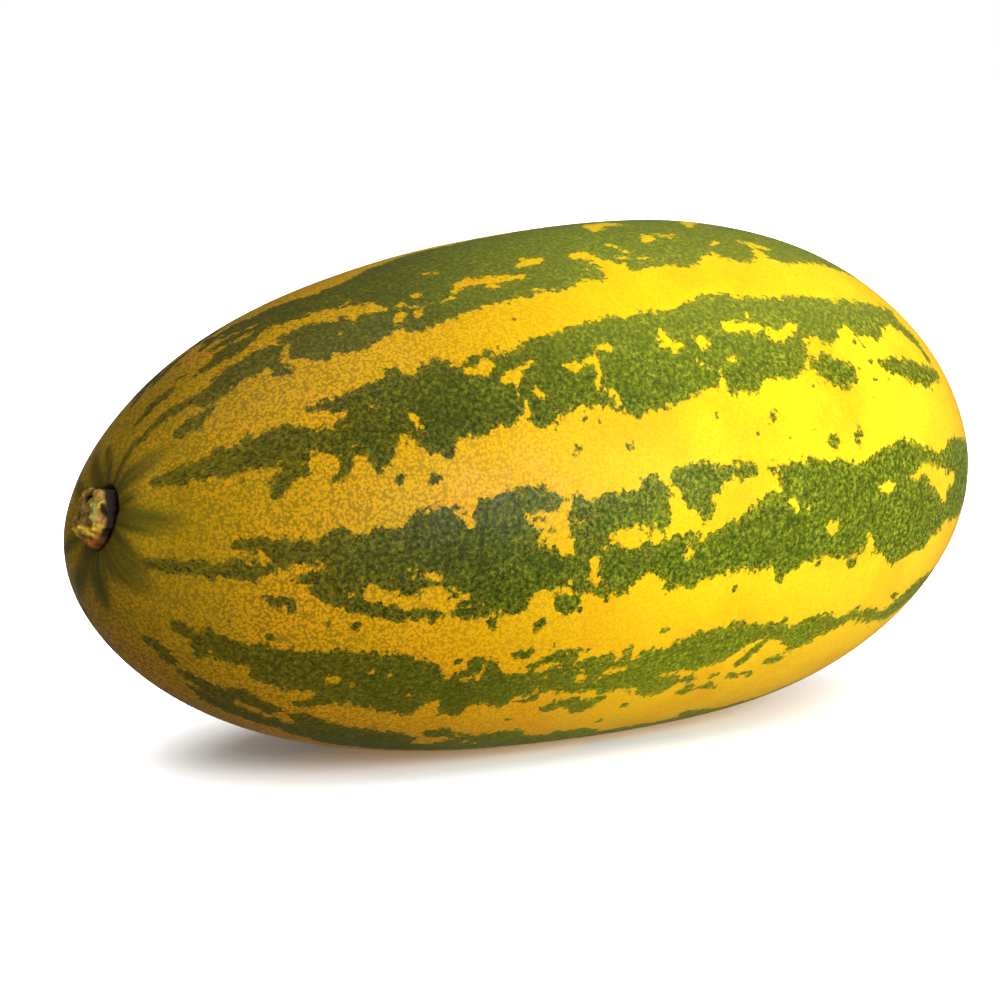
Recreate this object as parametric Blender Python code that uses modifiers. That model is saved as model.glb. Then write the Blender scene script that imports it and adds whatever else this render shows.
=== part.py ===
"""A ripe, egg-shaped field cucumber lying on its belly, with the dried stub of its stalk.

Metres, +Z up. +X runs from the stem end to the blossom end, the table is z = 0, and the origin is the middle of the
bounding box's underside. Two bodies: the fruit, one grown solid, and the stalk's corky stub, which stands in a
shallow socket at the stem end.
"""

import math

import bmesh
import bpy
from mathutils import Vector

# The fruit's driving dimensions.
FRUIT_LENGTH = 0.200
FRUIT_RADIUS = 0.050
AXIS_HEIGHT = 0.0475  # centre line above the table; the belly would hang 0.5 mm lower, and is cut flat there
BACK_ARCH = 0.0020  # how far the middle of the fruit rises above the straight centre line
ARCH_LEAN = 0.0032  # how much more it rises toward the blossom end
STEM_DROOP = -0.0025  # drop of the tip at the stem end

# The outline's departure from an ellipse: cosine terms of the angle from the stem end's tip.
STEM_TAPER = -0.034
WAIST = -0.027
SHOULDER = 0.021
END_SQUARENESS = -0.031

# Where the stalk stands: beside and above the fruit's tip, measured from the straight centre line.
STALK_Y = -0.0052
STALK_Z = 0.0048
STALK_AXIS = Vector((-1.0, -0.10, 0.20)).normalized()
POLE_FADE = 6.0  # how quickly the skin's grain forgets that its pole is off the tip

DIMPLE_RADIUS = 0.0140
DIMPLE_DEPTH = 0.0020

STUB_RADIUS = 0.0061
STUB_LENGTH = 0.0050
STUB_RISE = 0.0010  # of the broken face, above where the skin would be with no dimple
STUB_LOBES = 5
STUB_LOBE_HEIGHT = 0.08  # of the radius
STUB_FACE_SHRINK = 0.92  # the broken face, against the base
STUB_HOLLOW = 0.0009
STUB_EDGE = 0.0004

FIT_GAP = 0.0003

RINGS = 40
SEGMENTS = 64
STUB_SEGMENTS = 40


def clear_scene():
    for obj in list(bpy.data.objects):
        bpy.data.objects.remove(obj)


def new_collection(name):
    collection = bpy.data.collections.new(name)
    bpy.context.scene.collection.children.link(collection)
    return collection


def make_material(name, color, roughness):
    material = bpy.data.materials.new(name)
    material.use_nodes = True
    shader = material.node_tree.nodes["Principled BSDF"]
    shader.inputs["Base Color"].default_value = (*color, 1.0)
    shader.inputs["Roughness"].default_value = roughness
    shader.inputs["Metallic"].default_value = 0.0
    material.diffuse_color = (*color, 1.0)
    return material


def add_object(name, bm, collection, material=None):
    """Turn a bmesh into a smooth-shaded object at the origin."""
    bm.normal_update()
    bmesh.ops.recalc_face_normals(bm, faces=bm.faces[:])
    mesh = bpy.data.meshes.new(name)
    bm.to_mesh(mesh)
    bm.free()
    mesh.shade_smooth()
    obj = bpy.data.objects.new(name, mesh)
    collection.objects.link(obj)
    if material is not None:
        mesh.materials.append(material)
    return obj


def add_cutter(name, bm, collection, target):
    """Add a hidden body and subtract it from the target."""
    cutter = add_object(name, bm, collection)
    cutter.hide_render = True
    cutter.display_type = "WIRE"
    cut = target.modifiers.new(name, "BOOLEAN")
    cut.operation = "DIFFERENCE"
    cut.object = cutter
    return cutter


def girth(angle):
    """The outline's radius at an angle from the stem end's tip (0) to the blossom end's (pi)."""
    terms = (STEM_TAPER, WAIST, SHOULDER, END_SQUARENESS)
    fullness = 1.0 + sum(term * math.cos((k + 1) * angle) for k, term in enumerate(terms))
    return FRUIT_RADIUS * fullness * math.sin(angle)


def tip_spread():
    """Radius gained per radian right at the stem end's tip."""
    return FRUIT_RADIUS * (1.0 + STEM_TAPER + WAIST + SHOULDER + END_SQUARENESS)


def centre_line(x):
    """Height of the fruit's middle above the straight centre line, for x from -1 (stem) to 1 (blossom)."""
    middle = 1.0 - x * x
    return middle * (BACK_ARCH + ARCH_LEAN * x) + ((1.0 - x) / 2) ** 4 * STEM_DROOP


def grain_direction(direction):
    """Move a sphere's -X pole to where the stalk stands, fading out along the fruit."""
    fade = ((1.0 - direction.x) / 2) ** POLE_FADE
    pole = Vector((0.0, STALK_Y, STALK_Z - STEM_DROOP)) / tip_spread()
    return (direction + pole * fade).normalized()


def bare_point(direction):
    """The fruit's surface in one direction from its middle, with no dimple and with z = 0 on the table."""
    radius = girth(math.acos(max(-1.0, min(1.0, -direction.x))))
    across = math.hypot(direction.y, direction.z) or 1.0
    height = AXIS_HEIGHT + centre_line(direction.x)
    return Vector(
        (
            direction.x * FRUIT_LENGTH / 2,
            radius * direction.y / across,
            height + radius * direction.z / across,
        )
    )


def stalk_seat():
    """Where the stalk's axis meets the skin, before the dimple is pressed in."""
    return bare_point(grain_direction(Vector((-1.0, 0.0, 0.0))))


def skin_point(direction):
    """The fruit's surface with the dimple around the stalk."""
    bare = bare_point(direction)
    off_seat = bare - stalk_seat()
    away = (off_seat - STALK_AXIS * off_seat.dot(STALK_AXIS)).length / DIMPLE_RADIUS
    if direction.x > 0.0 or away > 1.0:
        return bare
    return bare - STALK_AXIS * DIMPLE_DEPTH * math.cos(away * math.pi / 2) ** 2


def build_fruit(collection, material):
    bm = bmesh.new()
    bmesh.ops.create_uvsphere(bm, u_segments=SEGMENTS, v_segments=RINGS, radius=1.0)
    for vert in bm.verts:
        along_x = Vector((-vert.co.z, vert.co.y, vert.co.x))
        vert.co = skin_point(grain_direction(along_x.normalized()))
    return add_object("fruit", bm, collection, material)


def build_table_cutter(collection, fruit):
    """A slab below the table level, which leaves the belly a flat place to rest on."""
    depth = FRUIT_RADIUS
    bm = bmesh.new()
    bmesh.ops.create_cube(bm, size=1.0)
    bmesh.ops.scale(bm, vec=(FRUIT_LENGTH, 2 * FRUIT_RADIUS, depth), verts=bm.verts[:])
    bmesh.ops.translate(bm, vec=(0.0, 0.0, -depth / 2), verts=bm.verts[:])
    return add_cutter("belly_cut", bm, collection, fruit)


def stand_on_stalk_axis(bm, height):
    """Turn a body that was modelled up +Z along the stalk, with its z = 0 at a height above the seat."""
    turn = Vector((0.0, 0.0, 1.0)).rotation_difference(STALK_AXIS).to_matrix()
    bmesh.ops.rotate(bm, matrix=turn, verts=bm.verts[:])
    bmesh.ops.translate(bm, vec=stalk_seat() + STALK_AXIS * height, verts=bm.verts[:])


def build_socket_cutter(collection, fruit):
    """The round socket that the stub stands in, a fitting gap wider and deeper than the stub."""
    height = 2 * STUB_LENGTH
    radius = STUB_RADIUS * (1.0 + STUB_LOBE_HEIGHT) + FIT_GAP
    bm = bmesh.new()
    bmesh.ops.create_cone(
        bm, cap_ends=True, segments=STUB_SEGMENTS, radius1=radius, radius2=radius, depth=height
    )
    bmesh.ops.translate(bm, vec=(0.0, 0.0, height / 2), verts=bm.verts[:])
    stand_on_stalk_axis(bm, STUB_RISE - STUB_LENGTH - FIT_GAP)
    return add_cutter("stub_socket", bm, collection, fruit)


def build_stub(collection, material):
    """The stalk's stub: a short five-lobed post with a slightly hollow broken face."""
    bm = bmesh.new()
    bmesh.ops.create_cone(
        bm,
        cap_ends=True,
        segments=STUB_SEGMENTS,
        radius1=STUB_RADIUS,
        radius2=STUB_RADIUS * STUB_FACE_SHRINK,
        depth=STUB_LENGTH,
    )
    bmesh.ops.translate(bm, vec=(0.0, 0.0, STUB_LENGTH / 2), verts=bm.verts[:])
    for vert in bm.verts:
        lobe = 1.0 + STUB_LOBE_HEIGHT * math.cos(STUB_LOBES * math.atan2(vert.co.y, vert.co.x))
        vert.co.x *= lobe
        vert.co.y *= lobe
    face = max(bm.faces, key=lambda f: f.calc_center_median().z)
    bmesh.ops.inset_region(bm, faces=[face], thickness=STUB_RADIUS / 3, depth=0.0)
    bmesh.ops.inset_region(bm, faces=[face], thickness=STUB_RADIUS / 4, depth=-STUB_HOLLOW)
    stand_on_stalk_axis(bm, STUB_RISE - STUB_LENGTH)
    stub = add_object("stem_stub", bm, collection, material)
    edge = stub.modifiers.new("worn_edges", "BEVEL")
    edge.width = STUB_EDGE
    edge.segments = 2
    edge.limit_method = "ANGLE"
    return stub


def main():
    clear_scene()
    parts = new_collection("cucumber")
    cutters = new_collection("cutters")
    skin = make_material("ripe_skin", (0.62, 0.40, 0.02), 0.38)
    cork = make_material("dry_stalk", (0.24, 0.18, 0.06), 0.85)
    fruit = build_fruit(parts, skin)
    build_table_cutter(cutters, fruit)
    build_socket_cutter(cutters, fruit)
    build_stub(parts, cork)


main()
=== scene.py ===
"""The looks of a ripe, egg-shaped field cucumber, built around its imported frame.

Metres, +Z up, in the frame's own place: +X runs from the stalk to the blossom end and the table is z = 0.
A place on the skin has two numbers, as on a globe: `along`, in millimetres from the stalk's pole (0) to the
blossom end (200), and `around`, in degrees from the top of the fruit toward its -Y side.
"""

import logging
import math
from dataclasses import dataclass, field
from enum import Enum

import bmesh
import bpy
import numpy as np
from mathutils import Matrix, Vector


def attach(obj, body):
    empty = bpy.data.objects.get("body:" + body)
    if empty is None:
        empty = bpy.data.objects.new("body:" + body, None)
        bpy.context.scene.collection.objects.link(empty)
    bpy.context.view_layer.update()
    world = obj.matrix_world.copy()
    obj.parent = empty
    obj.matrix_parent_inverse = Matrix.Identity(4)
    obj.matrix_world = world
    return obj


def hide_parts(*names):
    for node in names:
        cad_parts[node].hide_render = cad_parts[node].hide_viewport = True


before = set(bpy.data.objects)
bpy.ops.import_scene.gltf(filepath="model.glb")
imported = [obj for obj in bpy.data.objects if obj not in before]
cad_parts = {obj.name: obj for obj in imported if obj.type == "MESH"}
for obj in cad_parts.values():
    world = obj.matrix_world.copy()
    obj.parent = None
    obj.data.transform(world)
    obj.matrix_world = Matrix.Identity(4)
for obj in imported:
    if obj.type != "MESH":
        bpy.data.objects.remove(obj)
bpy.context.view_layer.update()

Array = np.ndarray
Colour = tuple[float, float, float]
Stop = tuple[float, Colour]
Line = tuple[tuple[float, float, float], ...]
Edge = tuple[tuple[float, float], ...]
Wave = tuple[int, float, float]  # how many round, phase in radians, height

ROOT = "root"
MM = 0.001
FAR = 99.0  # in mm: past the reach of any mark or relief
TINY = 1e-6
SENSOR = 36.0  # of the camera, in mm

log = logging.getLogger("cucumber")


def paint(red: int, green: int, blue: int) -> Colour:
    """A paint chart's colour, 0 to 255 a channel, as the linear light that a shader takes."""
    shares = (channel / 255.0 for channel in (red, green, blue))
    return tuple(s / 12.92 if s <= 0.04045 else ((s + 0.055) / 1.055) ** 2.4 for s in shares)


def ease(value: Array, start: float, end: float) -> Array:
    """A smooth step of a value from 0 at start to 1 at end; start may be the larger."""
    share = np.clip((value - start) / (end - start), 0.0, 1.0)
    return share * share * (3.0 - 2.0 * share)


def turn_between(around: Array, other: Array | float) -> Array:
    """Degrees from one angle to another the short way, -180 to 180."""
    return (around - other + 180.0) % 360.0 - 180.0


def facing(angle: Array) -> Array:
    """How much an angle faces angle 0, from 1 there to 0 on the far side."""
    return 0.5 + 0.5 * np.cos(angle)


def mound(offset: Array, width: float) -> Array:
    """A smooth mound: 1 at offset 0, and all but gone two widths away."""
    return np.exp(-((offset / width) ** 2))


def ripples(angle: Array, waves: tuple[Wave, ...]) -> Array:
    """The sum of some waves round a circle."""
    return sum(height * np.sin(count * angle + phase) for count, phase, height in waves)


# ------------------------------------------------------------
# The fruit's form
# ------------------------------------------------------------


@dataclass(frozen=True)
class FruitForm:
    """The fruit's outline and where its stalk stands: the same form as the frame's fruit.

    Attributes:
        length: From end to end.
        radius: Of the widest part.
        axis_height: The centre line above the table.
        back_arch: How far the middle rises above the straight centre line.
        arch_lean: How much more it rises toward the blossom end.
        stem_droop: Drop of the tip at the stem end.
        outline: Its departure from an ellipse, as cosine terms of the angle from the stem end's tip.
        stalk_aside: The stalk beside the fruit's tip, along Y.
        stalk_above: The stalk above the fruit's tip, along Z.
        stalk_axis: The way the stalk points, out of the fruit.
        pole_fade: How quickly the skin's grain forgets that its pole is off the tip.
        dimple_radius: Of the hollow round the stalk.
        dimple_depth: Of the hollow round the stalk.
    """

    length: float = 0.200
    radius: float = 0.050
    axis_height: float = 0.0475
    back_arch: float = 0.0020
    arch_lean: float = 0.0032
    stem_droop: float = -0.0025
    outline: tuple[float, ...] = (-0.034, -0.027, 0.021, -0.031)
    stalk_aside: float = -0.0052
    stalk_above: float = 0.0048
    stalk_axis: tuple[float, float, float] = (-1.0, -0.10, 0.20)
    pole_fade: float = 6.0
    dimple_radius: float = 0.0140
    dimple_depth: float = 0.0020

    def axis(self) -> Array:
        """The stalk's unit axis."""
        return np.array(self.stalk_axis) / np.linalg.norm(self.stalk_axis)

    def girth(self, angle: Array) -> Array:
        """The outline's radius at angles from the stem end's tip (0) to the blossom end's (pi)."""
        fullness = 1.0 + sum(term * np.cos((k + 1) * angle) for k, term in enumerate(self.outline))
        return self.radius * fullness * np.sin(angle)

    def centre_line(self, x: Array) -> Array:
        """Height of the middle above the straight centre line, for x from -1 (stem) to 1 (blossom)."""
        middle = 1.0 - x * x
        return middle * (self.back_arch + self.arch_lean * x) + ((1.0 - x) / 2) ** 4 * self.stem_droop

    def grain_direction(self, directions: Array) -> Array:
        """Move a sphere's -X pole to where the stalk stands, fading out along the fruit.

        Args:
            directions: Unit rows.

        Returns:
            Unit rows.
        """
        fade = ((1.0 - directions[:, :1]) / 2) ** self.pole_fade
        tip_spread = self.radius * (1.0 + sum(self.outline))
        pole = np.array((0.0, self.stalk_aside, self.stalk_above - self.stem_droop)) / tip_spread
        moved = directions + pole * fade
        return moved / np.linalg.norm(moved, axis=1, keepdims=True)

    def bare_point(self, directions: Array) -> Array:
        """The surface in each direction from the fruit's middle, with no dimple.

        Args:
            directions: Unit rows.

        Returns:
            Places, one a row.
        """
        x, y, z = directions.T
        radius = self.girth(np.arccos(np.clip(-x, -1.0, 1.0)))
        across = np.hypot(y, z)
        across[across == 0.0] = 1.0
        height = self.axis_height + self.centre_line(x)
        return np.column_stack((x * self.length / 2, radius * y / across, height + radius * z / across))

    def stalk_seat(self) -> Array:
        """Where the stalk's axis meets the skin, before the dimple is pressed in."""
        return self.bare_point(self.grain_direction(np.array([[-1.0, 0.0, 0.0]])))[0]

    def off_axis(self, places: Array) -> Array:
        """Each place's offset from the stalk's axis, square to it, one a row."""
        offset = places - self.stalk_seat()
        return offset - np.outer(offset @ self.axis(), self.axis())

    def skin_point(self, directions: Array) -> Array:
        """The surface in each direction with the dimple round the stalk.

        Args:
            directions: Unit rows, before the grain's pole is moved.

        Returns:
            Places, one a row.
        """
        grained = self.grain_direction(directions)
        bare = self.bare_point(grained)
        away = np.linalg.norm(self.off_axis(bare), axis=1) / self.dimple_radius
        depth = self.dimple_depth * np.cos(np.clip(away, 0.0, 1.0) * math.pi / 2) ** 2
        depth[grained[:, 0] > 0.0] = 0.0
        return bare - np.outer(depth, self.axis())


@dataclass(frozen=True)
class FaceFrame:
    """The plane of the stalk's broken face.

    Attributes:
        origin: The middle of the plane.
        side: The way that lies level, toward -Y.
        up: The way that climbs.
        out: The stalk's axis.
    """

    origin: Array
    side: Array
    up: Array
    out: Array

    @classmethod
    def on(cls, form: FruitForm) -> "FaceFrame":
        """The face's plane through the stalk's seat."""
        out = form.axis()
        up = np.array((0.0, 0.0, 1.0)) - out[2] * out
        up = up / np.linalg.norm(up)
        return cls(form.stalk_seat(), np.cross(up, out), up, out)

    def flat(self, places: Array) -> tuple[Array, Array]:
        """How far places are to the side and up, in mm."""
        offset = (places - self.origin) / MM
        return offset @ self.side, offset @ self.up


# ------------------------------------------------------------
# The stripes
# ------------------------------------------------------------


@dataclass(frozen=True)
class SkinMap:
    """Where each point of the skin is, as along and around, and how big a step of each is there.

    Attributes:
        along: Millimetres from the stalk's pole.
        around: Degrees from the top.
        along_scale: Millimetres of skin for one of along.
        around_scale: Millimetres of skin for one degree of around.
    """

    along: Array
    around: Array
    along_scale: Array
    around_scale: Array

    @classmethod
    def of(cls, form: FruitForm, directions: Array) -> "SkinMap":
        """Map the skin.

        Args:
            form: The fruit's form.
            directions: Unit rows, before the grain's pole is moved.

        Returns:
            The map, in the rows' order.
        """
        off_pole, step = 0.9999, 1e-4
        x = np.clip(directions[:, 0], -off_pole, off_pole)
        half = form.length / 2 / MM
        angle = np.arccos(-x)
        radius = form.girth(angle) / MM
        slope = (form.girth(angle + step) - form.girth(angle - step)) / MM / (2 * step * np.sin(angle) * half)
        around = np.degrees(np.arctan2(-directions[:, 1], directions[:, 2]))
        return cls(half * (1.0 + x), around, np.sqrt(1.0 + slope * slope), np.radians(radius))

    def size(self) -> int:
        """How many points the map has."""
        return len(self.along)


class Hue(Enum):
    """The two paints of the skin, by the sign that they take in the stripe's depth."""

    GREEN = 1.0
    GOLD = -1.0


@dataclass(frozen=True)
class Streak:
    """A run of one paint along a centre line, or one spot.

    Attributes:
        line: (along, around, half width) of each point, in mm, degrees and mm.
        hue: The paint.
        reach_out: How far outside the streak its depth is still worked out, in mm.
        firm: The depth that even a thin streak has in its middle, so that a ragged edge doesn't break it.
    """

    line: Line
    hue: Hue = Hue.GREEN
    reach_out: float = 6.0
    firm: float = 1.5

    def depth(self, skin: SkinMap) -> Array:
        """How deep inside the streak each point is, in mm; negative outside.

        Args:
            skin: The skin's map.

        Returns:
            One depth a point.
        """
        best = np.full(skin.size(), -FAR)
        line = self.line if len(self.line) > 1 else self.line * 2
        for (along_a, around_a, wide_a), (along_b, around_b, wide_b) in zip(line, line[1:]):
            reach = self.reach_out + max(wide_a, wide_b)
            low, high = min(along_a, along_b) - reach, max(along_a, along_b) + reach
            near = np.nonzero((skin.along > low) & (skin.along < high))[0]
            wide, tall = skin.along_scale[near], skin.around_scale[near]
            x = (skin.along[near] - along_a) * wide
            y = turn_between(skin.around[near], around_a) * tall
            run_x = (along_b - along_a) * wide
            run_y = (around_b - around_a) * tall
            share = np.clip((x * run_x + y * run_y) / np.maximum(run_x**2 + run_y**2, TINY), 0.0, 1.0)
            off = np.hypot(x - share * run_x, y - share * run_y)
            width = wide_a + share * (wide_b - wide_a)
            best[near] = np.maximum(best[near], (width - off) * np.maximum(1.0, self.firm / width))
        return best


@dataclass(frozen=True)
class Band:
    """A broad stripe between an upper and a lower edge.

    Attributes:
        upper: (along, around) of the edge nearer the fruit's top, in mm and degrees.
        lower: The same for the other edge.
        hue: The paint.
    """

    upper: Edge
    lower: Edge
    hue: Hue = Hue.GREEN

    @staticmethod
    def below(edge: Edge, skin: SkinMap) -> Array:
        """How far below an edge each point is, in mm, square to the edge.

        Args:
            edge: The edge's points.
            skin: The skin's map.

        Returns:
            One distance a point; negative above the edge.
        """
        places, angles = zip(*edge)
        half_step = 0.5
        ahead = np.interp(skin.along + half_step, places, angles)
        behind = np.interp(skin.along - half_step, places, angles)
        slant = (ahead - behind) * skin.around_scale / skin.along_scale
        middle = np.interp(skin.along, places, angles)
        return turn_between(skin.around, middle) * skin.around_scale / np.sqrt(1.0 + slant * slant)

    def depth(self, skin: SkinMap) -> Array:
        """How deep inside the band each point is, in mm; negative outside.

        Args:
            skin: The skin's map.

        Returns:
            One depth a point.
        """
        first = max(self.upper[0][0], self.lower[0][0])
        last = min(self.upper[-1][0], self.lower[-1][0])
        ends = np.minimum(skin.along - first, last - skin.along) * skin.along_scale
        sides = np.minimum(self.below(self.upper, skin), -self.below(self.lower, skin))
        return np.minimum(ends, sides)


def streaks(hue: Hue, *lines: Line) -> tuple[Streak, ...]:
    """Several streaks of one paint."""
    return tuple(Streak(line, hue) for line in lines)


def spots(hue: Hue, *places: tuple[float, float, float]) -> tuple[Streak, ...]:
    """Several round spots of one paint, each (along, around, radius)."""
    return tuple(Streak((place,), hue) for place in places)


TOP_STRIPE = (
    Band(
        upper=((48, 8), (52, 2), (58, 0), (66, -2), (76, -3), (100, -3), (112, -4), (120, -2), (130, 0),
               (140, 3), (150, 6), (160, 10), (168, 14)),
        lower=((48, 16), (52, 22), (58, 27), (64, 27), (72, 26), (80, 27), (88, 28), (95, 28), (100, 25),
               (108, 27), (114, 29), (120, 27), (124, 26.5), (130, 28), (135, 27), (140, 29.5), (148, 27),
               (155, 25.5), (160, 24.5), (168, 21)),
    ),
    *streaks(
        Hue.GREEN,
        ((6.5, -8, 0.5), (9, -5, 1), (13, -1.5, 1)),
        ((15, -5, 0.4), (17, -1, 0.4)),
        ((28, -6, 1), (31, -3, 1.4), (34, 0, 1.6), (38, 4, 1.6)),
        ((24, -3, 0.9), (26.5, -1.5, 1.2), (30, 1.5, 1.5), (33, 5, 1.6), (36.5, 7, 1.2)),
        ((28, -11, 1.2), (33, -6.5, 2.2), (36.5, -2.5, 2.4), (41, 1.5, 2.6), (46, 5, 2.6), (51, 7.5, 3)),
        ((24, -10, 1), (28, -11, 1.3)),
        ((17, 4.5, 0.7), (20, 5, 1), (24, 6.5, 2), (28, 7, 1.6), (31, 7, 0.5)),
        ((33, 3, 1), (37, 6, 3.4), (41, 9, 2.5), (45, 12, 2), (50, 11, 2.5)),
        ((4.5, 8, 0.6), (7, 10, 1), (9, 12.5, 1.2), (12, 16, 1.2), (14, 17, 1.2)),
        ((14.5, 20, 2), (18, 20, 2.6), (24, 20, 3), (28, 21, 3.2), (30, 20, 2)),
        ((27, 24, 1.5), (28.5, 30, 1.6)),
        ((8, 29, 0.8), (10, 29.5, 1.3), (12.5, 29, 1.3), (14.5, 28.5, 0.5)),
        ((32, 18, 1.5), (36, 20, 2.5), (40, 22, 2.5), (43, 24, 2.5)),
        ((32.5, 26, 2), (36, 28, 2.6), (40, 30, 2.6), (44, 29, 3), (48, 28, 3.5), (52, 28, 3.5),
         (58, 31, 2.8), (64, 30, 2.6), (70, 29, 2.5), (74, 30.5, 2.5), (80, 28.5, 2.2), (85, 29.5, 2.8),
         (90, 28, 2.8), (94, 29.5, 2)),
        ((36, 31, 0.8), (36, 34, 0.5)),
        ((41, 31, 1.2), (43, 34, 1.2)),
        ((52, 28, 3.5), (55, 31.5, 2.2)),
        ((101, 27, 1.5), (104, 28, 2.2), (107, 28.5, 1), (111, 28.5, 0.8), (114, 28, 2.6), (117, 27, 2.4)),
        ((126, 26.5, 2.2), (129, 27.5, 2.2), (132, 25, 2)),
        ((165, 13, 3), (171, 9, 2.8), (177, 7, 2), (183, 8, 1.1)),
        ((186, 11, 0.7), (189.5, 14, 1.1), (192, 13, 0.5)),
    ),
    *streaks(
        Hue.GOLD,
        ((41, 14.5, 0.8), (45, 18, 1.6), (50, 22.5, 1), (52, 24, 0.5)),
        ((66, 25, 0.8), (69, 23.5, 1.8), (74, 24, 1.4), (78, 25, 0.9), (80.5, 25.5, 0.6)),
        ((82, 21, 0.9), (84.5, 20.5, 1.6), (87, 20, 0.8)),
        ((93, 21, 0.7), (96.5, 23, 2), (98, 26, 1.6), (99.5, 29, 1.6), (102, 28, 0.8)),
        ((103, 19, 0.7), (105, 23, 0.8)),
        ((106, 26.5, 0.5), (109, 27, 0.6)),
        ((111, 20, 0.5), (113, 17.5, 1.3)),
        ((116, 16, 0.4), (118, 17.5, 1.2)),
        ((64, 14, 0.6), (67, 16, 0.6)),
        ((105, 10, 0.8), (108, 5, 2.2), (112, 5, 2.2)),
        ((127, 11, 0.8), (129, 8, 1.5), (132, 4, 1.8)),
        ((134, 21, 1.2), (138, 22, 1.5)),
        ((125, 23, 0.4), (127, 21.5, 0.7)),
    ),
    *spots(
        Hue.GOLD,
        (53, 28.5, 1.2), (56.5, 29.5, 0.8), (59, 22.5, 0.9), (135, 26, 1),
    ),
)

UPPER_STRIPE = (
    Band(
        upper=((45, 43.8), (49, 48), (51, 45.3), (55, 45.3), (58, 47.7), (62, 45.6), (65, 46.3), (70, 46.8),
               (74, 44.8), (82, 44.2), (90, 43), (96, 43.8), (107, 42.8), (113, 41.6), (118, 40.8),
               (124, 42.6), (132, 42.5), (140, 41.5), (145, 42), (155, 40.5), (160, 39.5), (166, 38.5)),
        lower=((45, 63), (50, 68), (51.5, 69.5), (53, 66), (60, 65), (67, 63), (70, 65.4), (72, 66),
               (76, 63), (80, 62.5), (83, 63), (86, 66), (90, 68), (92, 65.7), (98, 65.4), (103, 63.5),
               (107.5, 63), (109, 60.5), (110.5, 64.5), (116, 65), (119, 61.5), (126, 62.5), (130, 59.3),
               (132, 54.2), (138, 55.5), (141, 53.6), (143, 50.4), (145, 49.8), (148, 52.3), (153, 52.6),
               (157, 48.8), (160, 45.6), (166, 42)),
    ),
    *streaks(
        Hue.GREEN,
        ((3.5, 53, 0.6), (10, 57.5, 2.3), (15, 56.5, 2.8), (20, 56, 3), (24, 56, 3), (28, 58, 1.8),
         (30, 59, 2.5), (35, 59.5, 2.6), (40, 60, 2.5), (45, 59, 2.2)),
        ((12, 61, 1), (17, 60.5, 1.5), (22, 60, 1.8), (26, 62, 1.3)),
        ((33.5, 55, 1.2), (36, 54, 1.6), (38, 52, 2)),
        ((36, 54, 1.8), (40, 54.5, 2), (44, 55, 2)),
        ((22, 64, 0.9), (23, 67, 1.6), (25, 67.5, 1.1)),
        ((22, 68, 1.6), (20.5, 71, 1.5), (20, 73, 0.8)),
        ((31, 62.5, 1.2), (35, 63.5, 1.4), (38, 64, 1.4)),
        ((33, 64, 1.4), (33, 67, 1.1), (32.5, 69.5, 1), (31, 70.5, 0.8), (29.5, 72.5, 0.4)),
        ((40, 63, 1.5), (39, 66, 2), (38.5, 68.5, 1.2), (38, 70, 0.5)),
        ((29, 48, 0.6), (31.5, 47.5, 0.9), (33, 49.5, 0.9), (35, 49.5, 1.7), (38, 49.5, 2.3),
         (40, 49.5, 2.4), (43, 49, 3), (45, 50, 4.4)),
        ((46, 62.5, 1.2), (48, 65, 1.2), (50, 66.5, 1.5), (51.5, 69, 0.7)),
        ((132, 60, 1.5), (135, 61.5, 3), (138, 62, 2.8), (140, 62, 2.5)),
        ((160, 43, 2), (166, 44, 2), (170, 48, 1.5), (172, 52, 1)),
        ((150.5, 59, 0.4), (153, 60.5, 1.4), (156, 59.5, 1.6), (159, 60, 2), (162, 60, 2.6), (166, 60, 2.3),
         (170, 58.5, 1.4), (174, 57, 1)),
    ),
    *spots(
        Hue.GREEN,
        (15, 67, 0.5), (145.5, 53.8, 0.6), (147.5, 55, 0.6), (148, 59, 0.6), (144, 61, 0.5),
        (148, 63.3, 0.6), (152, 63, 0.5), (160, 57, 0.8),
    ),
    *streaks(
        Hue.GOLD,
        ((46, 57, 0.6), (47, 60, 1), (48, 62, 0.4)),
        ((59, 50, 0.6), (61.5, 50.5, 1.3), (63.5, 49.5, 1.3), (64.5, 49, 0.6)),
        ((66, 53.5, 1), (68, 52.5, 1), (70, 51.5, 0.7), (72, 50.5, 0.9)),
        ((70.5, 57, 0.8), (72, 59.5, 0.5), (74, 62, 0.5)),
        ((68, 62.5, 0.6), (68, 60, 0.3), (67, 56.5, 0.3), (68, 54, 0.4)),
        ((78, 53, 0.5), (80, 53.5, 1), (82.5, 53.5, 0.7), (84, 53, 1), (84.5, 56, 0.7), (82.5, 59.5, 0.5)),
        ((83, 59, 0.4), (84.5, 59.5, 0.7), (86, 62, 0.5), (87, 65, 0.3)),
        ((85.5, 50, 0.5), (87.5, 50.5, 0.8), (88.5, 51, 0.5)),
        ((100, 48, 0.5), (100, 51, 1.4), (101.5, 52.5, 1.3), (103, 53, 0.6)),
        ((106, 51, 0.6), (107.5, 51.5, 1.2), (108, 53.5, 1)),
        ((111.5, 57, 0.6), (113, 57.5, 0.8)),
        ((114.5, 49.5, 1), (117, 50, 1.3), (120, 50, 1.6), (123, 50.5, 1), (125, 52.5, 1.5), (127, 52, 1.2),
         (129, 50.5, 1.2), (131, 50, 0.8)),
        ((105, 56.5, 0.4), (107, 58.5, 0.5)),
        ((132, 54, 0.8), (134, 55, 1.4), (137, 56.5, 1.1), (139, 58, 1), (141, 57.5, 1)),
    ),
    *spots(
        Hue.GOLD,
        (110.5, 49.3, 0.6), (120.5, 46.5, 0.5),
    ),
    *spots(
        Hue.GREEN,
        (116.5, 48.7, 0.5),
    ),
)

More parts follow.
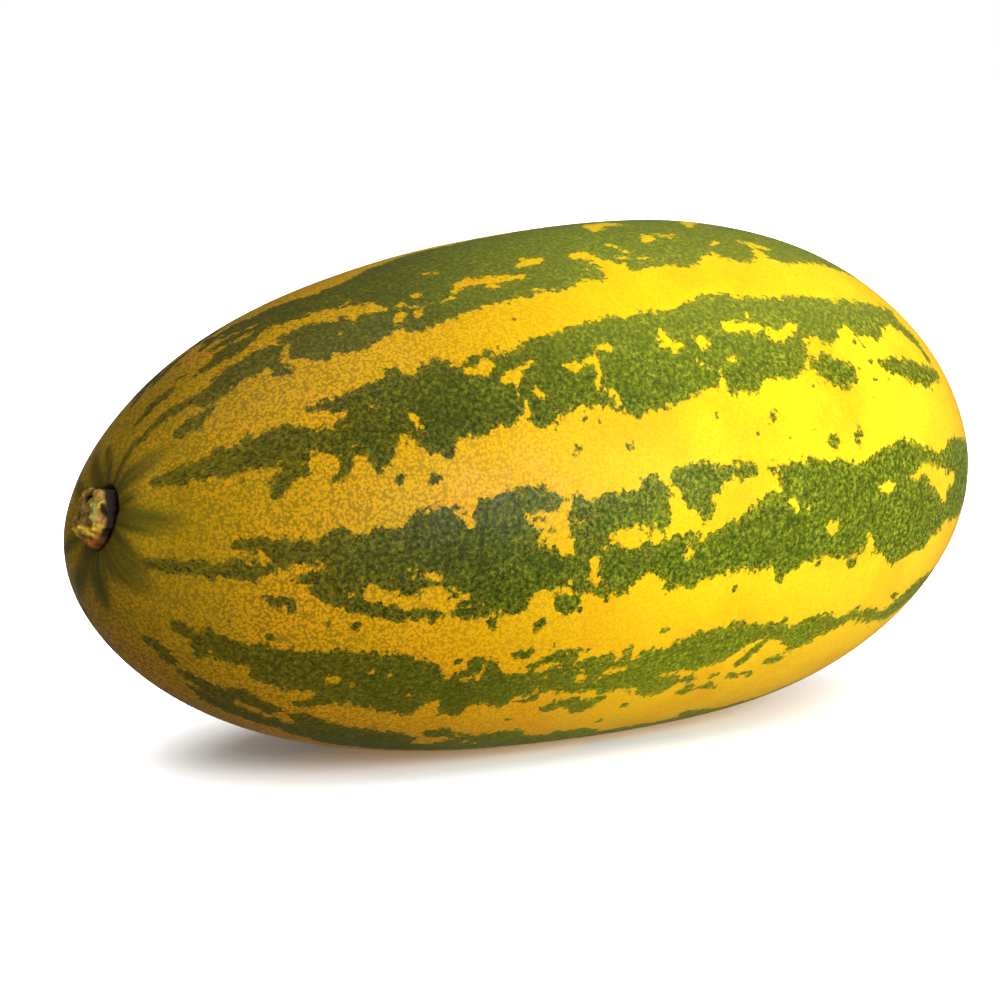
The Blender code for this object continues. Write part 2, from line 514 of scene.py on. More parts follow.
MIDDLE_SPOTS = spots(
    Hue.GREEN,
    (42, 73.8, 1), (48, 74, 0.9), (76, 72.3, 1), (86.5, 73, 0.8), (78.5, 66, 0.5), (81.5, 66.5, 0.5),
    (118.3, 71.2, 1.1), (132.5, 77.5, 1.1), (139, 77, 1.4), (121, 65, 0.5), (123.5, 65.2, 0.5),
    (130.3, 64.8, 0.5), (121.5, 76, 0.5), (127.7, 74.3, 0.5), (106, 69, 0.5),
)

LOWER_STRIPE = (
    Band(
        upper=((45, 86), (46.5, 81.2), (48, 80.4), (51, 80.8), (54, 83.5), (56, 80.6), (60, 79), (64, 80.4),
               (65, 86)),
        lower=((45, 94), (46.5, 96), (48, 97.5), (51, 99), (55, 104.5), (58, 105), (60, 105.8), (62, 107.7),
               (65, 105.8)),
    ),
    Band(
        upper=((63, 90), (66, 91.5), (68, 92), (72, 94.4), (75, 95), (77, 91), (79, 89)),
        lower=((63, 106), (66, 104), (68, 101.6), (72, 102), (75, 99.5), (77, 99), (79, 96)),
    ),
    Band(
        upper=((73, 82.8), (76, 82.5), (79, 83.5), (82, 82), (85, 83.5), (88, 81.6), (90, 79.8),
               (92.5, 81)),
        lower=((73, 86.5), (76, 87.5), (79, 95), (82, 91), (85, 89), (88, 89.5), (90, 90.5), (92.5, 91)),
    ),
    Band(
        upper=((79, 94), (85, 94), (91, 94), (95, 93), (103, 93.7), (106, 91.8), (112, 89.6), (117, 86.6),
               (120, 82), (126, 80.3), (131, 81.6), (140, 83.3), (144, 81), (149, 78.8), (152, 77.7),
               (159, 79.7), (165, 82.3), (171, 80), (175, 77.2), (184, 78)),
        lower=((79, 99.5), (84, 104.5), (87, 101.4), (90, 100.5), (94, 104.5), (99, 104.9), (105, 102.6),
               (114, 102.6), (118, 102.8), (120, 105.5), (123, 104.4), (130, 102.6), (138, 103.9),
               (141.5, 103.6), (143, 100), (145, 105.2), (150, 108.4), (156, 109), (162, 109), (165, 105.8),
               (172, 104.5), (180, 106.5), (184, 106)),
    ),
    *streaks(
        Hue.GREEN,
        ((4, 117, 0.6), (5, 115, 0.9), (6, 112, 1.1), (8, 109, 1.1), (10, 105.5, 1.1), (13, 104.2, 1.15),
         (17, 101.7, 1.6), (19, 100.7, 1.6), (20.5, 98, 1.2), (22, 95.5, 1.5), (24, 93.5, 1.8)),
        ((14, 93, 0.7), (16.5, 91.8, 1.4), (18.5, 90.6, 1.1)),
        ((27, 104.5, 0.6), (30, 105.5, 1), (34, 106, 1.3), (37, 107, 1)),
        ((38.5, 107.5, 0.9), (42.5, 108.3, 1)),
        ((53.5, 104.5, 0.8), (57, 106, 1.4), (60.5, 105.5, 1.5)),
        ((19.5, 109.5, 0.5), (22, 110.5, 1)),
        ((19, 94, 1), (22, 94, 1.2), (26, 94, 1.2)),
        ((47, 100, 1.2), (52, 100.5, 1.4), (56, 103, 1.2)),
        ((20, 91.5, 1), (22.5, 91.5, 1.6), (25, 91.5, 1.9), (27, 91, 2.1), (30, 90.5, 2.4)),
        ((30, 92, 2.4), (34, 95, 4.5), (38, 93, 4.9), (42, 92, 4.8), (46, 89.3, 5.3), (50, 90, 5.8)),
        ((31, 85, 0.5), (32, 89, 1)),
        ((25, 101, 0.8), (27, 101, 1.7), (30, 101, 2), (32, 101, 2), (34, 102, 1.5), (35, 105.5, 0.8)),
        ((38, 99, 1.3), (42, 99.5, 1.3), (44, 101, 1.2), (46, 100, 1.1), (47.5, 99, 0.7)),
        ((43.5, 107.5, 0.6), (46, 107.5, 1.4), (48, 107.3, 1.1), (49, 107, 0.6)),
        ((52, 107, 0.8), (54, 107, 1.2)),
        ((22.5, 108.5, 0.5), (24, 109.5, 1), (24.5, 111.5, 0.6)),
        ((64, 82, 3), (68, 81.8, 2.4), (71, 83, 1.4)),
        ((62, 82, 3), (66, 82, 2), (69, 82, 2), (71, 83.5, 1)),
        ((60, 88, 3), (67, 88.5, 2)),
        ((58, 104.5, 1), (61.5, 106.5, 1.2)),
        ((59.5, 108, 0.8), (59.7, 110.5, 0.7)),
        ((71.5, 105, 0.8), (73, 106, 1.6), (75, 105.5, 1.2)),
        ((89, 82, 1), (91, 84, 2.2), (92, 88, 1.4), (92.5, 90, 0.9)),
        ((94.5, 80.5, 1.3), (97, 81.5, 2.6), (99, 82, 3), (102, 82.5, 3.5), (104.5, 82, 2.2),
         (107, 81.2, 1.2), (109.5, 81.3, 1.7), (112, 81.7, 1.2), (113, 82, 0.6)),
        ((98, 84, 1.5), (100, 86, 2), (102, 87, 2.6), (103.5, 87, 2.6)),
        ((116, 82.4, 1), (118, 83, 1.8), (120, 84, 2.6)),
    ),
    *spots(
        Hue.GREEN,
        (38, 106, 0.9), (41, 106.5, 0.6), (50.5, 107.5, 0.5), (21, 111.5, 0.6), (35.3, 112.5, 0.7),
        (30.5, 113, 0.5), (23.5, 102.5, 0.5), (27, 105, 0.5), (12, 109.5, 0.5), (76.5, 107, 0.5),
        (110, 85.5, 0.5),
    ),
    *streaks(
        Hue.GOLD,
        ((42.5, 96.5, 0.4), (45, 96.5, 0.6), (47, 97.5, 0.7), (49, 98.5, 0.5)),
        ((51.5, 83, 0.6), (53, 83.5, 1.2), (54, 85.5, 0.8)),
        ((46, 101.5, 0.8), (50, 102.5, 1.3), (54, 103, 0.6)),
        ((65, 87, 0.5), (67.5, 87.8, 0.8), (70, 88, 1), (71.8, 87, 1.1), (72.6, 84, 0.9)),
        ((67, 90, 0.5), (69, 90.5, 1.4), (71.5, 91.5, 2), (74, 94, 1.2)),
        ((76, 85.5, 0.4), (77.8, 85.8, 0.6)),
        ((77.5, 96, 0.4), (78.3, 97.3, 0.9), (79, 98.5, 0.7)),
        ((81.5, 91.5, 0.7), (84, 90.8, 1.5), (87, 90.5, 1.2), (88, 90.8, 0.9)),
        ((88.5, 101.5, 0.6), (91, 102, 1.3), (93, 103, 0.8)),
        ((97.5, 95, 0.6), (98, 98, 0.8)),
        ((95, 83, 0.8), (95.5, 86, 1.6), (96, 89, 2.3), (98, 91, 2.3), (101, 92, 1.5), (104, 90.5, 1.3),
         (106, 87.5, 3), (109, 87, 3), (112, 85.5, 2.6), (115, 84.5, 1.8), (117, 85.5, 1.6),
         (118, 86.5, 1)),
        ((120.5, 88.5, 0.5), (121.5, 89.5, 0.8), (122.3, 91.3, 0.5)),
        ((131, 95.5, 0.8), (132, 96.5, 1.1)),
        ((142, 99.5, 0.4), (143, 101.5, 1), (144, 103, 1)),
        ((145, 89, 0.6), (147, 89.3, 1), (149, 89, 0.5)),
        ((154, 88, 0.5), (157, 87.5, 1), (160, 86.5, 1.3), (163, 88, 2.3), (166, 90, 2.8), (168, 93, 2.5),
         (170, 91, 2), (173, 90.5, 1)),
    ),
    *spots(
        Hue.GOLD,
        (125, 91, 0.6), (123.8, 94.8, 0.5),
    ),
    *streaks(
        Hue.GREEN,
        ((74, 85.5, 1), (75.5, 83, 1)),
        ((74, 89.5, 1), (75.8, 91, 1.6), (75.3, 93.5, 1.4)),
        ((75, 101, 1), (78, 102.5, 1.2), (81, 103, 1.2)),
        ((183, 83, 3), (188, 82, 2.2), (191.5, 80, 1.3), (194.5, 82, 0.6)),
        ((182, 99, 3.4), (187, 101, 2.4), (190, 104, 1.4), (192.5, 103, 0.6)),
        ((183.5, 91, 2), (186.5, 91, 1)),
    ),
    *spots(
        Hue.GREEN,
        (63.8, 106.5, 0.6), (81.5, 105, 0.7), (101.5, 90, 0.9), (68.7, 110.5, 0.9), (73, 116, 0.8),
        (67.5, 118, 1.2), (95.6, 114.6, 0.8), (109.5, 107, 0.8), (120, 106, 0.7), (129, 104.5, 0.6),
        (138.5, 106, 1),
    ),
)

BELLY_STRIPE = (
    Band(
        upper=((38, 121.5), (40, 120.7), (44, 119.5), (50, 120.7), (52.5, 122.6), (53.7, 125.8),
               (57, 125.2), (60, 125), (61, 120.4), (64, 123), (71, 124), (72, 126)),
        lower=((38, 135), (40, 138), (48, 139), (50, 140.5), (51.5, 137), (53.5, 133), (55, 133.5),
               (56.5, 137.5), (60, 138), (62, 133.5), (68, 133.5), (71, 131), (72, 129)),
    ),
    Band(
        upper=((90, 124), (93, 120), (97, 119.2), (102, 118), (105, 117), (110, 115.9), (114, 115.9),
               (118, 117.5), (124, 117.5), (128, 119.6), (134, 117.5), (136, 118.4), (140, 121)),
        lower=((90, 131), (95, 132.8), (98, 131), (100, 128), (108, 128), (114, 125.8), (118, 122),
               (124, 122.6), (128, 124.9), (130, 128.4), (134, 127.7), (137, 125.5), (140, 124)),
    ),
    *streaks(
        Hue.GREEN,
        ((11, 137.5, 1.2), (13, 137.5, 1.5), (15.5, 141, 1), (15.5, 144.5, 0.5)),
        ((15, 135.5, 2), (18, 135.5, 2.4), (20, 134, 2.3), (22, 131, 2.2), (25, 134, 4.1), (28, 132.8, 4.2),
         (30, 131.5, 4.4), (33, 130, 4), (36, 129.5, 4.2), (40, 129.3, 5.5)),
        ((38, 137, 2), (36, 139, 1.5), (34, 142, 1), (32, 144, 0.9)),
        ((24, 128.5, 1), (28, 126, 1.3), (32.5, 124, 1.4), (37.5, 122, 1.4), (42.5, 120.5, 1.3),
         (46, 120.5, 1)),
        ((70, 121.5, 0.8), (73, 119.8, 1.2), (78, 119.8, 1)),
        ((80, 121.5, 1), (84.5, 124, 1.2)),
        ((56, 124.5, 1), (59, 122.5, 1.2)),
        ((70, 124, 1), (74, 126, 1.3), (79, 126.5, 1.2)),
        ((86, 123, 1), (90, 122.5, 1.3)),
        ((73.5, 127.5, 1), (78, 128.6, 1.2), (81.5, 129.3, 1.4), (87, 129.8, 1.4), (94, 130, 1)),
        ((65, 118.2, 0.5), (67.5, 118.2, 1.2), (68.5, 117.5, 0.7)),
        ((75, 118, 0.5), (80.5, 118, 0.5)),
        ((76, 120, 1.6), (77, 121.5, 1.2)),
        ((72.5, 123.3, 0.8), (75, 124.5, 1.8), (78, 124.5, 1.3), (80, 125, 0.6)),
        ((80.5, 121.3, 0.8), (83, 121.3, 1.2), (85, 121.5, 1.2)),
        ((83, 124, 1.8), (83.5, 127.5, 1.6), (84.5, 130, 1)),
        ((86, 128, 0.9), (88, 127.7, 2.2), (90, 127.5, 3)),
        ((70, 133, 0.5), (72, 133.3, 0.5)),
        ((77, 136, 0.8), (79, 135.5, 1.5), (82, 134.5, 1.5), (84, 136, 1.8), (86.5, 136, 1.8),
         (88.5, 134.5, 0.8)),
        ((97, 131, 2.5), (100, 132.5, 2.5), (102.5, 131, 2), (104, 130.5, 0.8)),
        ((106.5, 131, 0.9), (108, 132, 0.7)),
        ((107, 136.5, 1), (109, 136, 1), (108.5, 134, 0.6)),
        ((111, 135.8, 0.5), (113, 135.5, 0.9), (115, 136.5, 1)),
        ((112.5, 131.5, 0.7), (114.5, 131, 0.5)),
        ((120.5, 124, 0.9), (119, 126, 1), (117.5, 128.5, 0.8)),
        ((117, 132.5, 0.6), (119, 133.5, 0.8), (121, 133, 0.7), (123, 134.5, 0.6)),
        ((124.5, 130, 0.6), (127, 130.3, 1.2), (129, 130.5, 0.5)),
        ((138, 122, 1.2), (143, 121.8, 1.5), (149, 123.2, 1.3), (152, 125, 1.4), (156, 127.5, 1.9),
         (160, 128, 3), (165, 127, 4), (170, 127.5, 3.2), (176, 129, 2), (183, 131, 1.4), (188, 133, 0.6)),
        ((156, 120.5, 0.6), (158, 121.5, 0.9)),
        ((190.5, 55, 0.6), (193.5, 58, 1), (195.5, 56, 0.5)),
    ),
    *spots(
        Hue.GREEN,
        (33.5, 120.5, 0.5), (58, 120.3, 1.2), (55, 120, 0.6), (92.5, 120.3, 0.8), (89, 119.3, 1),
        (73.5, 131.8, 0.8), (84.5, 138, 0.8), (71.3, 140.7, 0.9), (67.5, 134.5, 0.9), (95.5, 138.5, 0.7),
        (93, 145, 1), (16.5, 123, 0.5), (22.5, 122.8, 0.6),
    ),
    *streaks(
        Hue.GOLD,
        ((99, 128.5, 0.3), (103, 129, 0.6), (106, 128.5, 0.5)),
        ((53, 123, 0.6), (54.5, 124.3, 1)),
    ),
    *spots(
        Hue.GOLD,
        (35, 131, 1.2), (38.5, 131.5, 0.8), (40.5, 125.7, 0.5), (43.5, 125.7, 0.7), (49, 132, 0.7),
        (54, 135.5, 1.3),
    ),
)

UNDERSIDE_STRIPE = (
    *streaks(
        Hue.GREEN,
        ((10, 157.5, 1), (12, 156, 1.3), (13.5, 157, 1)),
        ((17, 158, 1), (20, 157, 1.8), (23, 155, 2)),
        ((23, 150, 0.8), (26, 151.5, 1.8), (29, 151.5, 1.8)),
        ((19.5, 163, 1), (23, 162, 1.8), (27, 161, 2.4), (31, 160.5, 2.2), (35.5, 158.5, 2)),
        ((38, 159, 3), (47, 160, 3.5), (56.5, 160, 3.5), (66.5, 159.5, 3.5), (76, 158, 3.5), (85, 157, 3)),
        ((35, 151, 2), (38, 153, 3.5), (42, 155, 4), (46, 154, 4.5), (50, 154.5, 4.5), (54, 154.5, 4)),
        ((58, 147.5, 1), (60.5, 147, 2.2), (62.5, 148.5, 1.5)),
        ((63, 156, 2), (67, 150, 1.5), (70, 151, 3), (74, 151, 4.5), (77, 153, 3), (84, 156, 4),
         (93, 157, 4)),
        ((86, 150, 1), (89, 153, 3.5), (93, 155, 4)),
        ((96, 157, 3), (104, 159, 5), (112, 158, 4.5), (120, 157, 4)),
        ((115, 149.5, 1.5), (118, 152, 2.5), (122, 155, 3), (132, 156, 4), (142, 154, 3.5), (152, 153, 3)),
    ),
)


@dataclass(frozen=True)
class WildStripe:
    """A stripe of the far side, grown by chance in the manner of the others.

    Attributes:
        middle: Degrees around of its middle.
        seed: Of its random draws.
        half_width: Degrees, at the fullest.
        start: Along, where it becomes whole.
        end: Along, where it fades.
        step: Along, between the edges' points.
        blossom: Along, where no more tips begin.
    """

    middle: float
    seed: int
    half_width: float = 9.5
    start: float = 36.0
    end: float = 176.0
    step: float = 3.5
    blossom: float = 190.0

    def marks(self) -> tuple[Band | Streak, ...]:
        """The stripe's band, its dashes toward the stalk, gaps, specks and tips, drawn in that order."""
        chance = np.random.default_rng(self.seed)
        return (
            self.body(chance),
            *self.dashes(chance),
            *self.gaps(chance),
            *self.specks(chance),
            *self.tips(chance),
        )

    def body(self, chance: np.random.Generator) -> Band:
        """The broad band, with edges that wander.

        Args:
            chance: The source of the draws.

        Returns:
            The band.
        """
        places = np.arange(self.start, self.end, self.step)
        share = (places - self.start) / (self.end - self.start)
        fullness = np.clip(np.sin(share * math.pi), 0.0, 1.0) ** 0.45
        wander = np.cumsum(chance.normal(0.0, 0.5, len(places)))
        wander -= np.linspace(0.0, wander[-1], len(places))
        edges = []
        for side in (-1.0, 1.0):
            ragged = chance.normal(0.0, 1.3, len(places))
            width = self.half_width * fullness * (0.86 + 0.14 * np.sin(share * 9.0 + side * self.seed)) + 1.0
            edges.append(tuple(zip(places, self.middle + wander + side * width + ragged)))
        return Band(upper=edges[0], lower=edges[1])

    def dashes(self, chance: np.random.Generator) -> tuple[Streak, ...]:
        """Thin dashes that the stripe breaks into toward the stalk.

        Args:
            chance: The source of the draws.

        Returns:
            The dashes.
        """
        lines = []
        for row in (-1, 0, 1):
            offset = self.middle + row * chance.uniform(4.5, 5.5)
            place = chance.uniform(6.0, 16.0)
            while place < self.start + 5.0:
                span = chance.uniform(5.0, 15.0)
                wide = 0.8 + place / self.start * chance.uniform(1.0, 2.4)
                tilt = chance.normal(0.0, 1.5)
                lines.append(
                    (
                        (place, offset, 0.5 * wide),
                        (place + span / 2, offset + tilt / 2, wide),
                        (place + span, offset + tilt, 0.6 * wide),
                    )
                )
                place += span + chance.uniform(1.5, 5.5)
        return streaks(Hue.GREEN, *lines)

    def gaps(self, chance: np.random.Generator) -> tuple[Streak, ...]:
        """Gold gaps inside the band, drawn out along it.

        Args:
            chance: The source of the draws.

        Returns:
            The gaps.
        """
        lines = []
        for place in np.arange(self.start + 8.0, self.end - 5.0, 7.5):
            place += chance.normal(0.0, 2.0)
            offset = self.middle + chance.uniform(-0.75, 0.75) * self.half_width
            wide = chance.uniform(0.5, 1.6)
            run = chance.uniform(1.5, 5.0)
            bend = chance.normal(0.0, 0.8)
            lines.append(
                (
                    (place - run, offset + bend, 0.4 * wide),
                    (place - 0.3 * run, offset - bend, wide),
                    (place + 0.4 * run, offset + 1.5 * bend, 0.8 * wide),
                    (place + run, offset, 0.4 * wide),
                )
            )
        return streaks(Hue.GOLD, *lines)

    def specks(self, chance: np.random.Generator) -> tuple[Streak, ...]:
        """Green specks scattered just outside the band's edges.

        Args:
            chance: The source of the draws.

        Returns:
            The specks.
        """
        places = []
        for place in np.arange(20.0, self.end, 6.0):
            side = chance.choice((-1.0, 1.0))
            around = self.middle + side * (self.half_width + chance.uniform(1.5, 5.5))
            places.append((place + chance.normal(0.0, 2.5), around, chance.uniform(0.45, 1.15)))
        return spots(Hue.GREEN, *places)

    def tips(self, chance: np.random.Generator) -> tuple[Streak, ...]:
        """Thin tips that the stripe runs out in toward the blossom end.

        Args:
            chance: The source of the draws.

        Returns:
            The tips.
        """
        lines = []
        for row in (-0.5, 0.5):
            offset = self.middle + row * self.half_width * chance.uniform(0.8, 1.2)
            place = self.end - 6.0
            wide = chance.uniform(1.6, 2.8)
            while place < self.blossom:
                span = chance.uniform(4.0, 9.0)
                tilt = chance.normal(0.0, 2.0)
                lines.append(((place, offset, wide), (place + span, offset + tilt, 0.5 * wide)))
                place += span + chance.uniform(0.0, 2.5)
                wide *= 0.7
        return streaks(Hue.GREEN, *lines)


@dataclass(frozen=True)
class StripePlan:
    """Every green and gold mark of the skin.

    Attributes:
        spread: How far the green grows past its marks, in mm.
        collar: The dull green patches that run out from the stalk.
        seen: The marks that were listed, group by group, in the order of painting.
        wild: The stripes of the far side.
    """

    spread: float = 0.25
    collar: tuple[Streak, ...] = streaks(
        Hue.GREEN,
        ((0.3, -18, 1.4), (2, -20, 1.2), (4, -27, 0.8)),
        ((0.3, 8, 1.4), (2.5, 6, 1), (5, 3, 0.5)),
        ((0.3, 30, 1.8), (2.4, 34, 2), (4.6, 33, 1.6), (7, 34, 0.7)),
        ((0.3, 60, 1.6), (1.6, 60, 1)),
        ((0.3, 86, 2.8), (2.5, 86, 2.4), (5, 85, 1.7), (8, 84, 0.7)),
        ((0.3, 118, 2.4), (2, 122, 2.2), (4.5, 124, 1)),
        ((0.3, 134, 2.6), (2, 137, 3), (4.5, 134, 2.2), (6.3, 132, 0.8)),
        ((0.3, 165, 2.6), (2.2, 169, 2.8), (4.5, 172, 1.6)),
        ((0.3, 200, 2.6), (2.3, 200, 2.6), (5, 206, 1.4)),
        ((0.3, 242, 1.8), (2.5, 240, 1.8), (5, 238, 0.8)),
        ((0.3, 285, 1.8), (2, 288, 1.8), (4, 290, 0.8)),
        ((0.3, 318, 1.8), (3, 316, 1.6), (6, 313, 0.6)),
    )
    seen: tuple[tuple[Band | Streak, ...], ...] = (
        TOP_STRIPE,
        UPPER_STRIPE,
        MIDDLE_SPOTS,
        LOWER_STRIPE,
        BELLY_STRIPE,
        UNDERSIDE_STRIPE,
    )
    wild: tuple[WildStripe, ...] = (
        WildStripe(200.0, 11),
        WildStripe(233.0, 23, half_width=10.5, end=183.0),
        WildStripe(267.0, 37, end=172.0),
        WildStripe(300.0, 41, half_width=11.0, start=30.0),
        WildStripe(334.0, 53, half_width=9.0, start=42.0),
    )

    def depth(self, skin: SkinMap) -> Array:
        """How deep inside the green each point is, in mm; negative in the gold.

        Args:
            skin: The skin's map.

        Returns:
            One depth a point.
        """
        total = np.full(skin.size(), -FAR)
        for group in (*self.seen, *(stripe.marks() for stripe in self.wild)):
            for mark in group:
                own = mark.depth(skin)
                total = np.maximum(total, own) if mark.hue is Hue.GREEN else np.minimum(total, -own)
        return total + self.spread

    def collar_share(self, skin: SkinMap) -> Array:
        """How much of the stalk's dull green each point has, 0 to 1."""
        patches = ease(np.max([mark.depth(skin) for mark in self.collar], axis=0), -1.6, 1.4)
        return patches * ease(skin.along, 9.0, 3.0)


# ------------------------------------------------------------
# Finishes
# ------------------------------------------------------------


class Bench:
    """One material's nodes, with short calls for the kinds that the finishes use."""

    def __init__(self, name: str) -> None:
        """Start a material.

        Args:
            name: The material's name.
        """
        self.material = bpy.data.materials.new(name)
        self.material.use_nodes = True
        self.tree = self.material.node_tree
        self.shader = self.tree.nodes["Principled BSDF"]
        coordinates = self.tree.nodes.new("ShaderNodeTexCoord")
        self.place = coordinates.outputs["Object"]

    def feed(self, socket: bpy.types.NodeSocket, value: object) -> None:
        """Link a socket to another's output, or set its value."""
        if isinstance(value, bpy.types.NodeSocket):
            self.tree.links.new(value, socket)
        elif isinstance(value, tuple) and len(value) == 3 and socket.type == "RGBA":
            socket.default_value = (*value, 1.0)
        else:
            socket.default_value = value

    def attribute(self, name: str, output: str = "Fac") -> bpy.types.NodeSocket:
        """The output of a mesh attribute."""
        node = self.tree.nodes.new("ShaderNodeAttribute")
        node.attribute_name = name
        return node.outputs[output]

    def noise(
        self, vector: bpy.types.NodeSocket, scale: float, detail: float = 2.0, roughness: float = 0.5
    ) -> bpy.types.NodeSocket:
        """Cloudy noise.

        Args:
            vector: Where it is read.
            scale: Features per unit.
            detail: Octaves.
            roughness: The share of each finer octave.

        Returns:
            A value about 0.5.
        """
        node = self.tree.nodes.new("ShaderNodeTexNoise")
        self.feed(node.inputs["Vector"], vector)
        self.feed(node.inputs["Scale"], scale)
        self.feed(node.inputs["Detail"], detail)
        self.feed(node.inputs["Roughness"], roughness)
        return node.outputs["Fac"]

    def cells(self, vector: bpy.types.NodeSocket, scale: float) -> bpy.types.Node:
        """Scattered cells, whose Distance is from each cell's middle."""
        node = self.tree.nodes.new("ShaderNodeTexVoronoi")
        self.feed(node.inputs["Vector"], vector)
        self.feed(node.inputs["Scale"], scale)
        return node

    def math(self, operation: str, a: object, b: object = 0.0) -> bpy.types.NodeSocket:
        """One arithmetic step."""
        node = self.tree.nodes.new("ShaderNodeMath")
        node.operation = operation
        self.feed(node.inputs[0], a)
        self.feed(node.inputs[1], b)
        return node.outputs[0]

    def remap(
        self, value: object, low: float, high: float, to_low: float = 0.0, to_high: float = 1.0
    ) -> bpy.types.NodeSocket:
        """A smooth step of a value.

        Args:
            value: What is read.
            low: Where the step begins.
            high: Where it ends.
            to_low: The result at low.
            to_high: The result at high.

        Returns:
            The stepped value.
        """
        node = self.tree.nodes.new("ShaderNodeMapRange")
        node.interpolation_type = "SMOOTHSTEP"
        for name, number in zip(("From Min", "From Max", "To Min", "To Max"), (low, high, to_low, to_high)):
            node.inputs[name].default_value = number
        self.feed(node.inputs["Value"], value)
        return node.outputs["Result"]

    def mix(self, factor: object, a: object, b: object, blend: str = "MIX") -> bpy.types.NodeSocket:
        """A mix of two colours.

        Args:
            factor: The share of the second.
            a: The first colour.
            b: The second colour.
            blend: The way of mixing.

        Returns:
            The mixed colour.
        """
        node = self.tree.nodes.new("ShaderNodeMix")
        node.data_type = "RGBA"
        node.blend_type = blend
        self.feed(node.inputs[0], factor)
        self.feed(node.inputs[6], a)
        self.feed(node.inputs[7], b)
        return node.outputs[2]

    def ramp(self, factor: object, stops: tuple[Stop, ...]) -> bpy.types.NodeSocket:
        """A colour ramp.

        Args:
            factor: Where on the ramp.
            stops: The places and colours, from low to high.

        Returns:
            The colour.
        """
        node = self.tree.nodes.new("ShaderNodeValToRGB")
        elements = node.color_ramp.elements
        while len(elements) < len(stops):
            elements.new(1.0)
        for element, (place, colour) in zip(elements, stops):
            element.position = place
            element.color = (*colour, 1.0)
        self.feed(node.inputs["Fac"], factor)
        return node.outputs["Color"]

    def bump(
        self, height: object, strength: float, distance: float, normal: object = None
    ) -> bpy.types.NodeSocket:
        """A bump, over another where one is given.

        Args:
            height: The relief.
            strength: Its share.
            distance: Metres for a height of 1.
            normal: The bump below.

        Returns:
            The normal.
        """
        node = self.tree.nodes.new("ShaderNodeBump")
        self.feed(node.inputs["Strength"], strength)
        self.feed(node.inputs["Distance"], distance)
        self.feed(node.inputs["Height"], height)
        if normal is not None:
            self.feed(node.inputs["Normal"], normal)
        return node.outputs["Normal"]

    def finish(
        self, colour: object, roughness: object, normal: object = None, shine: float = 0.5
    ) -> bpy.types.Material:
        """Feed the shader.

        Args:
            colour: Its base colour.
            roughness: Its roughness.
            normal: Its normal.
            shine: Its specular level, the same all over.

        Returns:
            The material.
        """
        self.feed(self.shader.inputs["Base Color"], colour)
        self.feed(self.shader.inputs["Roughness"], roughness)
        self.shader.inputs["Specular IOR Level"].default_value = shine
        if normal is not None:
            self.feed(self.shader.inputs["Normal"], normal)
        return self.material


